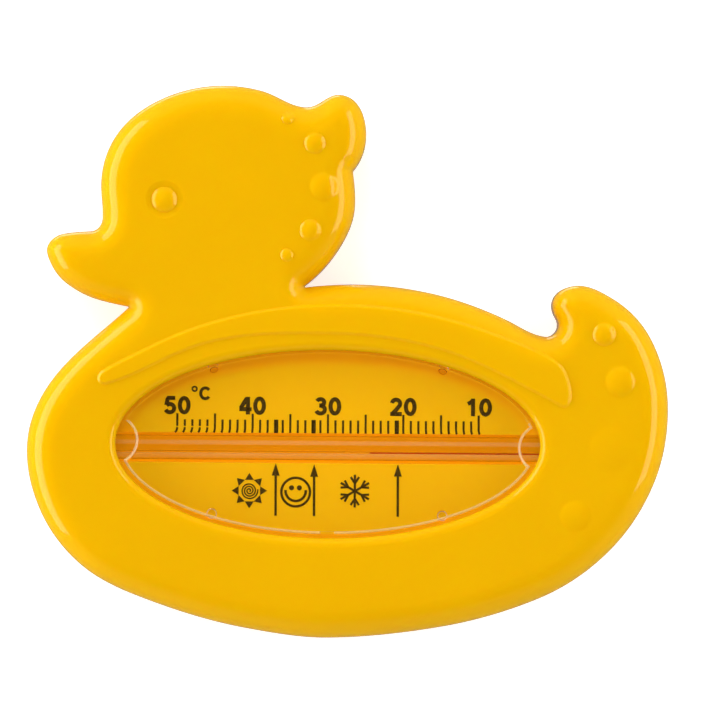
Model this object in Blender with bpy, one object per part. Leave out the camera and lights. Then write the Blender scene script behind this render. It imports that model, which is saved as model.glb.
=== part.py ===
"""Baby bath thermometer: a hollow floating duck of two moulded shells with a spirit thermometer
behind an oval window. It lies on its flat back: +X to the tail, +Y to the top of the head, +Z up
out of the window. All sizes are in metres."""

import math

import bmesh
import bpy
from mathutils import Vector

MM = 0.001

# Body of the duck
BODY_LENGTH = 105.0 * MM
FACE_HEIGHT = 19.1 * MM
SEAM_HEIGHT = 10.0 * MM
EDGE_ROUND = 5.0 * MM
WALL = 2.0 * MM

# Seam between the shells: the back shell's tongue stands in the front shell's rebate
SEAM_GAP = 0.3 * MM
SEAM_CHAMFER = 0.15 * MM
OUTER_LIP = 0.8 * MM
TONGUE_HEIGHT = 1.5 * MM

# Raised forms on the front face
WING_RAISE = 0.7 * MM
WING_EDGE_ROUND = 0.35 * MM
EYE_RADIUS = 2.1 * MM
EYE_RAISE = 0.6 * MM
EYE_DISH_RADIUS = 3.1 * MM
EYE_DISH_DEPTH = 0.45 * MM
FORM_ROOT = 1.2 * MM

# Window opening and the clear lens behind it
WINDOW_HALF_LENGTH = 34.7 * MM
WINDOW_HALF_HEIGHT = 15.35 * MM
WINDOW_LIP_ROUND = 1.7 * MM
LENS_FRAME_GAP = 0.9 * MM
LENS_SINK = 1.0 * MM
LENS_CHAMFER = 0.3 * MM
LENS_WALL = 1.4 * MM
FLANGE_REACH = 3.0 * MM
FLANGE_THICKNESS = 1.4 * MM
BITE_RADIUS = 3.64 * MM
PEG_RADIUS = 0.85 * MM
PEG_SPACING = 37.6 * MM
PEG_TOP_ROW = 12.4 * MM
PEG_BOTTOM_ROW = -11.5 * MM
GATE_WIDTH = 2.4 * MM
GATE_REACH = 0.45 * MM

# Collar inside the front shell that locates the lens flange
COLLAR_WALL = 1.2 * MM
COLLAR_DEPTH = 1.6 * MM

# Scale plate with a channel for the tube
PLATE_THICKNESS = 1.2 * MM
PLATE_MARGIN = 0.5 * MM
CHANNEL_WALL = 1.2 * MM
CHANNEL_END_MARGIN = 0.7 * MM
GROOVE_OFFSET = -0.7 * MM

# Glass tube and its spirit
TUBE_RADIUS = 2.0 * MM
TUBE_CLEARANCE = 0.45 * MM
TUBE_SINK = 0.1 * MM
TUBE_TIP = 37.5 * MM
BORE_RADIUS = 0.15 * MM
BULB_LENGTH = 10.0 * MM
BULB_ROOM = 4.2 * MM
BULB_RADIUS = 2.3 * MM
BULB_WALL = 0.7 * MM
SPIRIT_RADIUS = 0.09 * MM
SPIRIT_GAP = 0.1 * MM

# Scale printed on the plate: 50 degrees at the left end, 10 at the right
SCALE_LENGTH = 49.3 * MM
SCALE_HOTTEST = 50.0
SCALE_COLDEST = 10.0
READING = 24.4

# Clearance that touching pieces keep
GAP = 0.3 * MM

# How finely curves are cut into straight edges
OUTLINE_TURN = math.radians(15.0)
OUTLINE_STEP = 5.0 * MM
OUTER_FILLET_STEPS = 4
LIP_FILLET_STEPS = 5
INNER_FILLET_STEPS = 2
WING_FILLET_STEPS = 2
OVAL_SIDES = 60
BITE_STEPS = 8
ARC_STEPS = OVAL_SIDES // 2 - BITE_STEPS
CHANNEL_STEPS = 10
PEG_SIDES = 16
STEM_SIDES = 20
BORE_SIDES = 10
BULB_STEPS = 4
DOME_SIDES = 14
DOME_STEPS = 3
DISH_SIDES = 20

# The edge's rounding ball takes at most this share of the room it has, and its radius grows
# no faster than this along the edge
BALL_SHARE = 0.92
ROUND_GROWTH = 0.6

# Thickest wall as a share of the edge round, where the duck is narrow
WALL_SHARE = 0.75

# Radius of the small flat at a pole as a share of its ball
POLE_SHARE = 0.08

# Side view of the duck, drawn about 105 units long and anticlockwise from the top of the head.
# Each knot is x, y and the heading of the edge there in degrees.
DUCK_OUTLINE = (
    (-21.9, 45.1, 183),
    (-32.7, 41.9, 210),
    (-39.0, 35.6, 242),
    (-40.7, 28.9, 269),
    (-40.4, 23.3, 268),
    (-42.3, 21.1, 183),
    (-46.6, 20.7, 190),
    (-48.75, 19.6, 226),
    (-49.5, 17.9, 271),
    (-48.8, 15.7, 295),
    (-46.2, 12.5, 323),
    (-41.1, 9.9, 344),
    (-36.2, 8.8, 350),
    (-36.13, 8.56, 223),
    (-49.3, -4.5, 237),
    (-52.5, -13.8, 267),
    (-50.3, -24.6, 294),
    (-43.2, -33.8, 321),
    (-32.0, -39.4, 340),
    (-16.5, -43.7, 350),
    (-2.9, -45.2, 1),
    (15.4, -43.3, 10),
    (31.6, -38.5, 23),
    (43.3, -30.4, 46),
    (50.3, -19.5, 68),
    (52.5, -7.5, 90),
    (49.6, 4.2, 118),
    (43.0, 10.9, 150),
    (37.3, 12.8, 184),
    (33.4, 9.7, 265),
    (33.8, 7.9, 297),
    (34.4, 6.2, 264),
    (32.3, 4.4, 174),
    (25.9, 7.1, 155),
    (13.3, 11.4, 168),
    (0.2, 12.7, 181),
    (-7.0, 12.2, 187),
    (-7.11, 12.47, 38),
    (-2.9, 16.7, 53),
    (0.5, 23.0, 73),
    (0.58, 31.2, 97),
    (0.65, 31.44, 50),
    (2.7, 37.2, 90),
    (-1.7, 43.8, 176),
    (-7.0, 41.7, 181),
    (-14.4, 44.3, 165),
)

# The raised wing, drawn the same way from its left tip
WING_OUTLINE = (
    (-40.5, -3.3, 250),
    (-39.4, -3.7, 20),
    (-25.7, 2.2, 20),
    (-4.2, 4.7, 0),
    (9.9, 3.5, 349),
    (21.3, 0.0, 336),
    (35.0, -6.9, 333),
    (36.3, -5.5, 88),
    (35.6, -1.9, 110),
    (32.6, 1.1, 150),
    (23.3, 4.9, 160),
    (2.2, 9.3, 176),
    (-18.0, 8.2, 193),
    (-32.4, 3.2, 209),
)

# Centres of the window and the eye in the same drawing
WINDOW_CENTRE = (-3.2, -13.45)
EYE_CENTRE = (-30.2, 26.3)

# Round dots down the back of the head and the tail: x, y, radius and height
DOTS = (
    (-10.1, 39.8, 1.05, 0.45),
    (-5.7, 35.7, 1.75, 0.75),
    (-4.2, 28.6, 2.3, 0.8),
    (-6.3, 21.5, 1.8, 0.75),
    (-10.1, 17.4, 1.1, 0.45),
    (41.8, 4.8, 1.9, 0.8),
    (44.5, -2.9, 2.55, 0.9),
    (43.1, -13.9, 3.75, 0.3),
    (37.3, -24.9, 2.55, 0.6),
)

# Linear colours of the materials
YELLOW = (0.90, 0.47, 0.003)
PLATE_YELLOW = (0.84, 0.40, 0.003)
CLEAR = (0.98, 0.98, 0.98)
SPIRIT_RED = (0.55, 0.05, 0.01)

# Heights of the stack under the window, worked down from the face
LENS_TOP = FACE_HEIGHT - LENS_SINK
FLANGE_TOP = FACE_HEIGHT - WALL - GAP
FLANGE_BOTTOM = FLANGE_TOP - FLANGE_THICKNESS
PLATE_TOP = FLANGE_BOTTOM - GAP
TUBE_HEIGHT = PLATE_TOP - TUBE_SINK - TUBE_RADIUS
GROOVE_RADIUS = TUBE_RADIUS + TUBE_CLEARANCE
FLANGE_HALF_LENGTH = WINDOW_HALF_LENGTH + FLANGE_REACH
FLANGE_HALF_HEIGHT = WINDOW_HALF_HEIGHT + FLANGE_REACH
RIM_HEIGHT = SEAM_HEIGHT - SEAM_GAP
TONGUE_TOP = RIM_HEIGHT + TONGUE_HEIGHT


# Scene and materials
def clear_scene():
    for item in list(bpy.data.objects):
        bpy.data.objects.remove(item, do_unlink=True)


def plain_material(name, colour, roughness, clear=0.0, ior=1.5):
    material = bpy.data.materials.new(name)
    material.use_nodes = True
    shader = material.node_tree.nodes["Principled BSDF"]
    shader.inputs["Base Color"].default_value = (*colour, 1.0)
    shader.inputs["Metallic"].default_value = 0.0
    shader.inputs["Roughness"].default_value = roughness
    shader.inputs["Transmission Weight"].default_value = clear
    shader.inputs["IOR"].default_value = ior
    return material


def add_object(name, mesh, material, place=(0.0, 0.0, 0.0), parent=None):
    item = bpy.data.objects.new(name, mesh)
    bpy.context.scene.collection.objects.link(item)
    item.location = place
    item.parent = parent
    if material:
        mesh.materials.append(material)
    return item


def hide_tool(item):
    item.hide_render = True
    item.display_type = "WIRE"
    return item


def add_boolean(item, tool, operation):
    modifier = item.modifiers.new(tool.name, "BOOLEAN")
    modifier.operation = operation
    modifier.solver = "EXACT"
    modifier.object = tool


# Outlines: chains of curves through knots with headings
def curve_handles(start, end):
    """Middle control points of the curve between two knots, close to a circular arc."""
    first = Vector(start[:2])
    last = Vector(end[:2])
    chord = last - first
    chord_heading = math.atan2(chord.y, chord.x)
    turn_in = math.remainder(math.radians(start[2]) - chord_heading, math.tau)
    turn_out = math.remainder(math.radians(end[2]) - chord_heading, math.tau)
    reach_in = chord.length / (3.0 * math.cos(turn_in / 2.0) ** 2)
    reach_out = chord.length / (3.0 * math.cos(turn_out / 2.0) ** 2)
    heading_in = chord_heading + turn_in
    heading_out = chord_heading + turn_out
    second = first + reach_in * Vector((math.cos(heading_in), math.sin(heading_in)))
    third = last - reach_out * Vector((math.cos(heading_out), math.sin(heading_out)))
    steps_for_turn = (abs(turn_in) + abs(turn_out)) / OUTLINE_TURN
    return (first, second, third, last), steps_for_turn


def curve_point(controls, along):
    """Point and direction at a share of the way along a cubic curve."""
    back = 1.0 - along
    first, second, third, last = controls
    point = (
        back**3 * first
        + 3.0 * back**2 * along * second
        + 3.0 * back * along**2 * third
        + along**3 * last
    )
    direction = (
        back**2 * (second - first)
        + 2.0 * back * along * (third - second)
        + along**2 * (last - third)
    )
    return point, direction.normalized()


def trace_outline(knots, unit, centre):
    """Points of a closed outline in metres, each with its inward normal."""
    points = []
    normals = []
    for index, start in enumerate(knots):
        end = knots[(index + 1) % len(knots)]
        controls, steps_for_turn = curve_handles(start, end)
        steps_for_length = (controls[3] - controls[0]).length * unit / OUTLINE_STEP
        steps = max(1, math.ceil(steps_for_turn), math.ceil(steps_for_length))
        for step in range(steps):
            point, direction = curve_point(controls, step / steps)
            points.append((point - centre) * unit)
            normals.append(Vector((-direction.y, direction.x)))
    return points, normals


def drawing_frame():
    """Metres per drawing unit and the middle of the drawn duck's box."""
    points, _ = trace_outline(DUCK_OUTLINE, 1.0, Vector((0.0, 0.0)))
    low_x = min(point.x for point in points)
    high_x = max(point.x for point in points)
    low_y = min(point.y for point in points)
    high_y = max(point.y for point in points)
    middle = Vector(((low_x + high_x) / 2.0, (low_y + high_y) / 2.0))
    return BODY_LENGTH / (high_x - low_x), middle


UNIT, MIDDLE = drawing_frame()


def placed(drawn):
    """A drawn x, y as metres from the middle of the duck."""
    return (Vector(drawn) - MIDDLE) * UNIT


def edge_rounds(points, normals, widest):
    """Radius of a ball that rolls inside the outline at each point, at most the widest one."""
    rounds = []
    for point, normal in zip(points, normals):
        radius = widest
        for other in points:
            offset = other - point
            ahead = offset.dot(normal)
            if ahead > 1e-9:
                radius = min(radius, BALL_SHARE * offset.length_squared / (2.0 * ahead))
        rounds.append(radius)
    count = len(points)
    order = list(range(count)) * 2
    for sequence, step in ((order, -1), (order[::-1], 1)):
        for index in sequence:
            beside = (index + step) % count
            distance = (points[index] - points[beside]).length
            rounds[index] = min(rounds[index], rounds[beside] + ROUND_GROWTH * distance)
    return rounds


# Lofted solids: rings of equal count, joined in order and capped at both ends
def loft_mesh(name, rings):
    shape = bmesh.new()
    loops = []
    for ring in rings:
        loops.append([shape.verts.new(corner) for corner in ring])
    count = len(loops[0])
    for lower, upper in zip(loops, loops[1:]):
        for index in range(count):
            following = (index + 1) % count
            corners = (lower[index], lower[following], upper[following], upper[index])
            shape.faces.new(corners)
    shape.faces.new(list(reversed(loops[0])))
    shape.faces.new(loops[-1])
    bmesh.ops.recalc_face_normals(shape, faces=shape.faces)
    mesh = bpy.data.meshes.new(name)
    shape.to_mesh(mesh)
    shape.free()
    return mesh


def shade_round(mesh, angle=35.0):
    mesh.shade_smooth()
    mesh.set_sharp_from_angle(angle=math.radians(angle))


def inset_ring(points, normals, insets, heights):
    ring = []
    for point, normal, inset, height in zip(points, normals, insets, heights):
        moved = point + normal * inset
        ring.append((moved.x, moved.y, height))
    return ring


def fillet_angles(steps):
    return [math.pi / 2.0 * step / steps for step in range(steps + 1)]


# The two shells of the duck
def shell_rings(points, normals, rounds, face, seam, side):
    """Inner and outer rings of one shell; side is 1 for a face on top and -1 for one below."""
    count = len(points)
    walls = [min(WALL, WALL_SHARE * radius) for radius in rounds]

    outer = []
    for angle in fillet_angles(OUTER_FILLET_STEPS):
        insets = [radius * (1.0 - math.cos(angle)) for radius in rounds]
        heights = [face - side * radius * (1.0 - math.sin(angle)) for radius in rounds]
        outer.append(inset_ring(points, normals, insets, heights))

    inner = []
    for angle in reversed(fillet_angles(INNER_FILLET_STEPS)):
        insets = []
        heights = []
        for radius, wall in zip(rounds, walls):
            inner_round = radius - wall
            insets.append(wall + inner_round * (1.0 - math.cos(angle)))
            heights.append(face - side * (WALL + inner_round * (1.0 - math.sin(angle))))
        inner.append(inset_ring(points, normals, insets, heights))

    def level(insets, height):
        return inset_ring(points, normals, insets, [height] * count)

    step_inset = OUTER_LIP if side > 0 else OUTER_LIP + GAP
    step_height = TONGUE_TOP + GAP if side > 0 else TONGUE_TOP
    rim = [
        level(walls, step_height),
        level([step_inset] * count, step_height),
        level([step_inset] * count, seam),
        level([SEAM_CHAMFER] * count, seam),
        level([0.0] * count, seam + side * SEAM_CHAMFER),
    ]
    return inner + rim + outer


def even_angles(sides):
    return [math.tau * index / sides for index in range(sides)]


def oval_ring(half_length, half_height, height, grow=0.0, angles=None):
    """Ellipse moved outwards along its normals by grow."""
    ring = []
    for angle in angles or even_angles(OVAL_SIDES):
        normal = Vector((math.cos(angle) / half_length, math.sin(angle) / half_height)).normalized()
        x = half_length * math.cos(angle) + grow * normal.x
        y = half_height * math.sin(angle) + grow * normal.y
        ring.append((x, y, height))
    return ring


def window_cutter():
    """The oval opening, flared by the round of its lip."""
    flare = [(0.0, FACE_HEIGHT - WALL - GAP)]
    for angle in fillet_angles(LIP_FILLET_STEPS)[:-1]:
        spread = WINDOW_LIP_ROUND * (1.0 - math.cos(angle))
        height = FACE_HEIGHT - WINDOW_LIP_ROUND * (1.0 - math.sin(angle))
        flare.append((spread, height))
    flare.append((WINDOW_LIP_ROUND, FACE_HEIGHT + GAP))
    rings = []
    for spread, height in flare:
        rings.append(oval_ring(WINDOW_HALF_LENGTH, WINDOW_HALF_HEIGHT, height, spread))
    return loft_mesh("window_cutter", rings)


def dome_rings(radius, rise, foot, top):
    """Cap of a ball on a short round root; rise is its height above top."""
    ball = (radius**2 + rise**2) / (2.0 * rise)
    edge_angle = math.asin(radius / ball)
    profile = [(radius, foot)]
    for step in range(DOME_STEPS):
        angle = edge_angle * (1.0 - step / DOME_STEPS)
        profile.append((ball * math.sin(angle), top + rise - ball * (1.0 - math.cos(angle))))
    profile.append((radius * POLE_SHARE, top + rise))
    return [round_ring(reach, height, DOME_SIDES) for reach, height in profile]


def round_ring(radius, height, sides):
    turns = even_angles(sides)
    return [(radius * math.cos(turn), radius * math.sin(turn), height) for turn in turns]


def moved_rings(rings, centre):
    return [[(x + centre.x, y + centre.y, z) for x, y, z in ring] for ring in rings]


def eye_dish_cutter():
    """Shallow round dish that the eye stands in."""
    ball = (EYE_DISH_RADIUS**2 + EYE_DISH_DEPTH**2) / (2.0 * EYE_DISH_DEPTH)
    edge_angle = math.asin(EYE_DISH_RADIUS / ball)
    bottom = FACE_HEIGHT - EYE_DISH_DEPTH
    profile = [(EYE_DISH_RADIUS * POLE_SHARE, bottom)]
    for step in range(1, DOME_STEPS + 1):
        angle = edge_angle * step / DOME_STEPS
        profile.append((ball * math.sin(angle), bottom + ball * (1.0 - math.cos(angle))))
    profile.append((EYE_DISH_RADIUS, FACE_HEIGHT + GAP))
    rings = [round_ring(reach, height, DISH_SIDES) for reach, height in profile]
    return loft_mesh("eye_dish_cutter", moved_rings(rings, placed(EYE_CENTRE)))


def wing_rings():
    points, normals = trace_outline(WING_OUTLINE, UNIT, MIDDLE)
    rounds = edge_rounds(points, normals, WING_EDGE_ROUND)
    count = len(points)
    top = FACE_HEIGHT + WING_RAISE
    root = FACE_HEIGHT - FORM_ROOT
    rings = [inset_ring(points, normals, [0.0] * count, [root] * count)]
    for angle in fillet_angles(WING_FILLET_STEPS):
        insets = [radius * (1.0 - math.cos(angle)) for radius in rounds]
        heights = [top - radius * (1.0 - math.sin(angle)) for radius in rounds]
        rings.append(inset_ring(points, normals, insets, heights))
    return rings


def collar_mesh():
    """Upright oval wall under the face, round the lens flange."""
    inner = GAP
    outer = GAP + COLLAR_WALL
    low = FACE_HEIGHT - WALL - COLLAR_DEPTH
    high = FACE_HEIGHT - WALL + GAP
    size = (FLANGE_HALF_LENGTH, FLANGE_HALF_HEIGHT)
    profile = [(inner, low), (outer, low), (outer, high), (inner, high)]
    rings = [oval_ring(*size, height, grow) for grow, height in profile]
    shape = bmesh.new()
    loops = [[shape.verts.new(corner) for corner in ring] for ring in rings]
    for step, lower in enumerate(loops):
        upper = loops[(step + 1) % len(loops)]
        for index in range(OVAL_SIDES):
            following = (index + 1) % OVAL_SIDES
            shape.faces.new((lower[index], lower[following], upper[following], upper[index]))
    bmesh.ops.recalc_face_normals(shape, faces=shape.faces)
    mesh = bpy.data.meshes.new("lens_collar_form")
    shape.to_mesh(mesh)
    shape.free()
    return mesh


def make_shells(window_axis):
    points, normals = trace_outline(DUCK_OUTLINE, UNIT, MIDDLE)
    rounds = edge_rounds(points, normals, EDGE_ROUND)

    back_mesh = loft_mesh("back_shell", shell_rings(points, normals, rounds, 0.0, RIM_HEIGHT, -1))
    shade_round(back_mesh)
    add_object("back_shell", back_mesh, plain_material("back_yellow", YELLOW, 0.22))

    front_rings = shell_rings(points, normals, rounds, FACE_HEIGHT, SEAM_HEIGHT, 1)
    front_mesh = loft_mesh("front_shell", front_rings)
    shade_round(front_mesh)
    front = add_object("front_shell", front_mesh, plain_material("front_yellow", YELLOW, 0.22))

    dish = hide_tool(add_object("eye_dish_cutter", eye_dish_cutter(), None))
    add_boolean(front, dish, "DIFFERENCE")

    dish_bottom = FACE_HEIGHT - EYE_DISH_DEPTH
    root = FACE_HEIGHT - FORM_ROOT
    rings = dome_rings(EYE_RADIUS, EYE_RAISE + EYE_DISH_DEPTH, root, dish_bottom)
    raised = {"eye_form": moved_rings(rings, placed(EYE_CENTRE)), "wing_form": wing_rings()}
    for number, (x, y, radius, rise) in enumerate(DOTS, 1):
        rings = dome_rings(radius * UNIT, rise * UNIT, root, FACE_HEIGHT)
        raised[f"dot_form_{number}"] = moved_rings(rings, placed((x, y)))
    for name, rings in raised.items():
        form = hide_tool(add_object(name, loft_mesh(name, rings), None))
        add_boolean(front, form, "UNION")

    collar = hide_tool(add_object("lens_collar_form", collar_mesh(), None, parent=window_axis))
    add_boolean(front, collar, "UNION")
    opening = hide_tool(add_object("window_cutter", window_cutter(), None, parent=window_axis))
    add_boolean(front, opening, "DIFFERENCE")


# The clear lens
def bite_crossing(half_length, half_height, bite_radius):
    """Angle on the ellipse where a bite centred on the opening's end meets it."""
    low = 0.0
    high = math.pi / 2.0
    for _ in range(50):
        middle = (low + high) / 2.0
        x = half_length * math.cos(middle) - WINDOW_HALF_LENGTH
        y = half_height * math.sin(middle)
        if math.hypot(x, y) < bite_radius:
            low = middle
        else:
            high = middle
    return (low + high) / 2.0


def bitten_ring(height, inset):
    """Plateau outline: an oval with a round bite out of each end, moved inwards by inset."""
    half_length = WINDOW_HALF_LENGTH - LENS_FRAME_GAP - inset
    half_height = WINDOW_HALF_HEIGHT - LENS_FRAME_GAP - inset
    bite_radius = BITE_RADIUS + inset
    start = bite_crossing(half_length, half_height, bite_radius)
    corner_x = half_length * math.cos(start) - WINDOW_HALF_LENGTH
    corner_y = half_height * math.sin(start)
    corner_turn = math.atan2(corner_y, corner_x)
    ring = []
    for side in (1.0, -1.0):
        for step in range(ARC_STEPS):
            angle = start + (math.pi - 2.0 * start) * step / ARC_STEPS
            x = half_length * math.cos(angle)
            y = half_height * math.sin(angle)
            ring.append((side * x, side * y, height))
        for step in range(BITE_STEPS):
            turn = corner_turn + (math.tau - 2.0 * corner_turn) * step / BITE_STEPS
            x = -WINDOW_HALF_LENGTH - bite_radius * math.cos(turn)
            y = bite_radius * math.sin(turn)
            ring.append((side * x, side * y, height))
    return ring


def bitten_angles():
    """Angles on an ellipse that stand opposite the points of the bitten plateau."""
    half_length = WINDOW_HALF_LENGTH - LENS_FRAME_GAP
    half_height = WINDOW_HALF_HEIGHT - LENS_FRAME_GAP
    start = bite_crossing(half_length, half_height, BITE_RADIUS)
    angles = []
    for half_turn in (0.0, math.pi):
        for step in range(ARC_STEPS):
            angles.append(half_turn + start + (math.pi - 2.0 * start) * step / ARC_STEPS)
        for step in range(BITE_STEPS):
            angles.append(half_turn + math.pi - start + 2.0 * start * step / BITE_STEPS)
    return angles


def make_lens(window_axis):
    flange = (FLANGE_HALF_LENGTH, FLANGE_HALF_HEIGHT)
    angles = bitten_angles()
    rings = [
        bitten_ring(LENS_TOP - LENS_WALL, LENS_WALL),
        bitten_ring(FLANGE_BOTTOM, LENS_WALL),
        oval_ring(*flange, FLANGE_BOTTOM, angles=angles),
        oval_ring(*flange, FLANGE_TOP, angles=angles),
        bitten_ring(FLANGE_TOP, 0.0),
        bitten_ring(LENS_TOP - LENS_CHAMFER, 0.0),
        bitten_ring(LENS_TOP, LENS_CHAMFER),
    ]
    mesh = loft_mesh("window_lens", rings)
    shade_round(mesh, 30.0)
    material = plain_material("clear_styrene", CLEAR, 0.04, clear=1.0, ior=1.49)
    lens = add_object("window_lens", mesh, material, parent=window_axis)

    for number, (x, y) in enumerate(peg_places(), 1):
        foot = PLATE_TOP - PLATE_THICKNESS
        root = FLANGE_BOTTOM + FLANGE_THICKNESS / 2.0
        name = f"peg_form_{number}"
        mesh = round_bar(name, PEG_RADIUS, foot, root)
        peg = hide_tool(add_object(name, mesh, None, (x, y, 0.0), window_axis))
        add_boolean(lens, peg, "UNION")

    gate = hide_tool(add_object("gate_form", gate_mesh(), None, parent=window_axis))
    add_boolean(lens, gate, "UNION")


def peg_places():
    places = []
    for row in (PEG_TOP_ROW, PEG_BOTTOM_ROW):
        for side in (-0.5, 0.5):
            places.append((side * PEG_SPACING, row))
    return places


def round_bar(name, radius, low, high):
    rings = [round_ring(radius, height, PEG_SIDES) for height in (low, high)]
    mesh = loft_mesh(name, rings)
    shade_round(mesh)
    return mesh


def gate_mesh():
    """Stub left at the bottom of the lens plateau where the plastic ran in."""
    edge = -(WINDOW_HALF_HEIGHT - LENS_FRAME_GAP)
    low = FLANGE_TOP - FLANGE_THICKNESS / 2.0
    high = LENS_TOP - 2.0 * LENS_CHAMFER
    rings = []
    for height in (low, high):
        ring = [
            (-GATE_WIDTH / 2.0, edge - GATE_REACH, height),
            (GATE_WIDTH / 2.0, edge - GATE_REACH, height),
            (GATE_WIDTH / 2.0, edge + LENS_WALL / 2.0, height),
            (-GATE_WIDTH / 2.0, edge + LENS_WALL / 2.0, height),
        ]
        rings.append(ring)
    return loft_mesh("gate_form", rings)


# The scale plate
def channel_section(radius, top):
    """Upright U, open at the top, as y, z points from the right rim round the bottom."""
    section = [(radius, top)]
    for step in range(CHANNEL_STEPS + 1):
        turn = -math.pi * step / CHANNEL_STEPS
        section.append((radius * math.cos(turn), TUBE_HEIGHT + radius * math.sin(turn)))
    section.append((-radius, top))
    return section


def channel_mesh(name, radius, top, half_length):
    rings = []
    for x in (-half_length, half_length):
        rings.append([(x, y + GROOVE_OFFSET, z) for y, z in channel_section(radius, top)])
    mesh = loft_mesh(name, rings)
    shade_round(mesh)
    return mesh


def make_plate(window_axis):
    half_length = FLANGE_HALF_LENGTH - PLATE_MARGIN
    half_height = FLANGE_HALF_HEIGHT - PLATE_MARGIN
    foot = PLATE_TOP - PLATE_THICKNESS
    rings = [
        oval_ring(half_length, half_height, foot),
        oval_ring(half_length, half_height, PLATE_TOP),
    ]
    mesh = loft_mesh("scale_plate", rings)
    shade_round(mesh)
    material = plain_material("plate_yellow", PLATE_YELLOW, 0.35)
    plate = add_object("scale_plate", mesh, material, parent=window_axis)

    channel_radius = GROOVE_RADIUS + CHANNEL_WALL
    reach = channel_radius + abs(GROOVE_OFFSET)
    channel_half = half_length * math.sqrt(1.0 - (reach / half_height) ** 2) - CHANNEL_END_MARGIN
    channel_top = PLATE_TOP - PLATE_THICKNESS / 2.0
    mesh = channel_mesh("channel_form", channel_radius, channel_top, channel_half)
    channel = hide_tool(add_object("channel_form", mesh, None, parent=window_axis))
    add_boolean(plate, channel, "UNION")

    mesh = channel_mesh("groove_cutter", GROOVE_RADIUS, PLATE_TOP + GAP, half_length + GAP)
    groove = hide_tool(add_object("groove_cutter", mesh, None, parent=window_axis))
    add_boolean(plate, groove, "DIFFERENCE")

    for number, (x, y) in enumerate(peg_places(), 1):
        name = f"peg_hole_cutter_{number}"
        mesh = round_bar(name, PEG_RADIUS + GAP, foot - GAP, PLATE_TOP + GAP)
        hole = hide_tool(add_object(name, mesh, None, (x, y, 0.0), window_axis))
        add_boolean(plate, hole, "DIFFERENCE")


# The glass tube and the spirit in it, turned about the tube's axis
def turned_mesh(name, profile, sides):
    """Solid turned about X from its left end; the profile is x, radius."""
    rings = []
    for x, radius in profile:
        turns = even_angles(sides)
        rings.append([(x, radius * math.cos(turn), radius * math.sin(turn)) for turn in turns])
    mesh = loft_mesh(name, rings)
    shade_round(mesh)
    return mesh


def bulb_profile(stem, bulb, start, end):
    """Stem opening out by a soft cone to a bulb with a round end."""
    profile = [(start, stem), (start + bulb - stem, bulb)]
    for step in range(BULB_STEPS):
        turn = math.pi / 2.0 * step / BULB_STEPS
        profile.append((end - bulb + bulb * math.sin(turn), bulb * math.cos(turn)))
    profile.append((end, bulb * POLE_SHARE))
    return profile


def make_tube(window_axis):
    place = (0.0, GROOVE_OFFSET, TUBE_HEIGHT)
    bulb_end = BODY_LENGTH / 2.0 - placed(WINDOW_CENTRE).x - WALL - BULB_ROOM
    bulb_start = bulb_end - BULB_LENGTH
    outside = bulb_profile(TUBE_RADIUS, BULB_RADIUS, bulb_start, bulb_end)
    mesh = turned_mesh("glass_tube", [(-TUBE_TIP, TUBE_RADIUS)] + outside, STEM_SIDES)
    glass = plain_material("glass", CLEAR, 0.03, clear=1.0, ior=1.5)
    tube = add_object("glass_tube", mesh, glass, place, window_axis)

    hollow_radius = BULB_RADIUS - BULB_WALL
    hollow_start = bulb_start + BULB_WALL
    hollow_end = bulb_end - BULB_WALL
    hollow = bulb_profile(BORE_RADIUS, hollow_radius, hollow_start, hollow_end)
    mesh = turned_mesh("bore_cutter", [(-TUBE_TIP - GAP, BORE_RADIUS)] + hollow, BORE_SIDES)
    bore = hide_tool(add_object("bore_cutter", mesh, None, place, window_axis))
    add_boolean(tube, bore, "DIFFERENCE")

    degree = SCALE_LENGTH / (SCALE_HOTTEST - SCALE_COLDEST)
    column_end = -SCALE_LENGTH / 2.0 + (SCALE_HOTTEST - READING) * degree
    filled_radius = hollow_radius - SPIRIT_GAP
    filled = bulb_profile(
        SPIRIT_RADIUS, filled_radius, hollow_start + 2.0 * SPIRIT_GAP, hollow_end - SPIRIT_GAP
    )
    mesh = turned_mesh("fluid_column", [(column_end, SPIRIT_RADIUS)] + filled, BORE_SIDES)
    red = plain_material("red_spirit", SPIRIT_RED, 0.15)
    add_object("fluid_column", mesh, red, place, window_axis)


def build():
    clear_scene()
    centre = placed(WINDOW_CENTRE)
    window_axis = bpy.data.objects.new("window_axis", None)
    bpy.context.scene.collection.objects.link(window_axis)
    window_axis.location = (centre.x, centre.y, 0.0)
    make_shells(window_axis)
    make_lens(window_axis)
    make_plate(window_axis)
    make_tube(window_axis)


build()
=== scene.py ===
# %% [markdown]
# # A duck bath thermometer
# This lesson dresses a flat floating bath thermometer: two glossy yellow shells shaped as a duck,
# a clear window, and behind it a printed plate with a glass tube of red spirit. The solids were
# drawn before, and they stay where they are. Each step first says what a piece is on the real
# object, then how it could be made, and why this way was chosen.

# %% Load the solids
import math

import bmesh
import bpy
import numpy as np
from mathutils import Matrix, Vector
from mathutils.geometry import delaunay_2d_cdt
from mathutils.kdtree import KDTree


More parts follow.
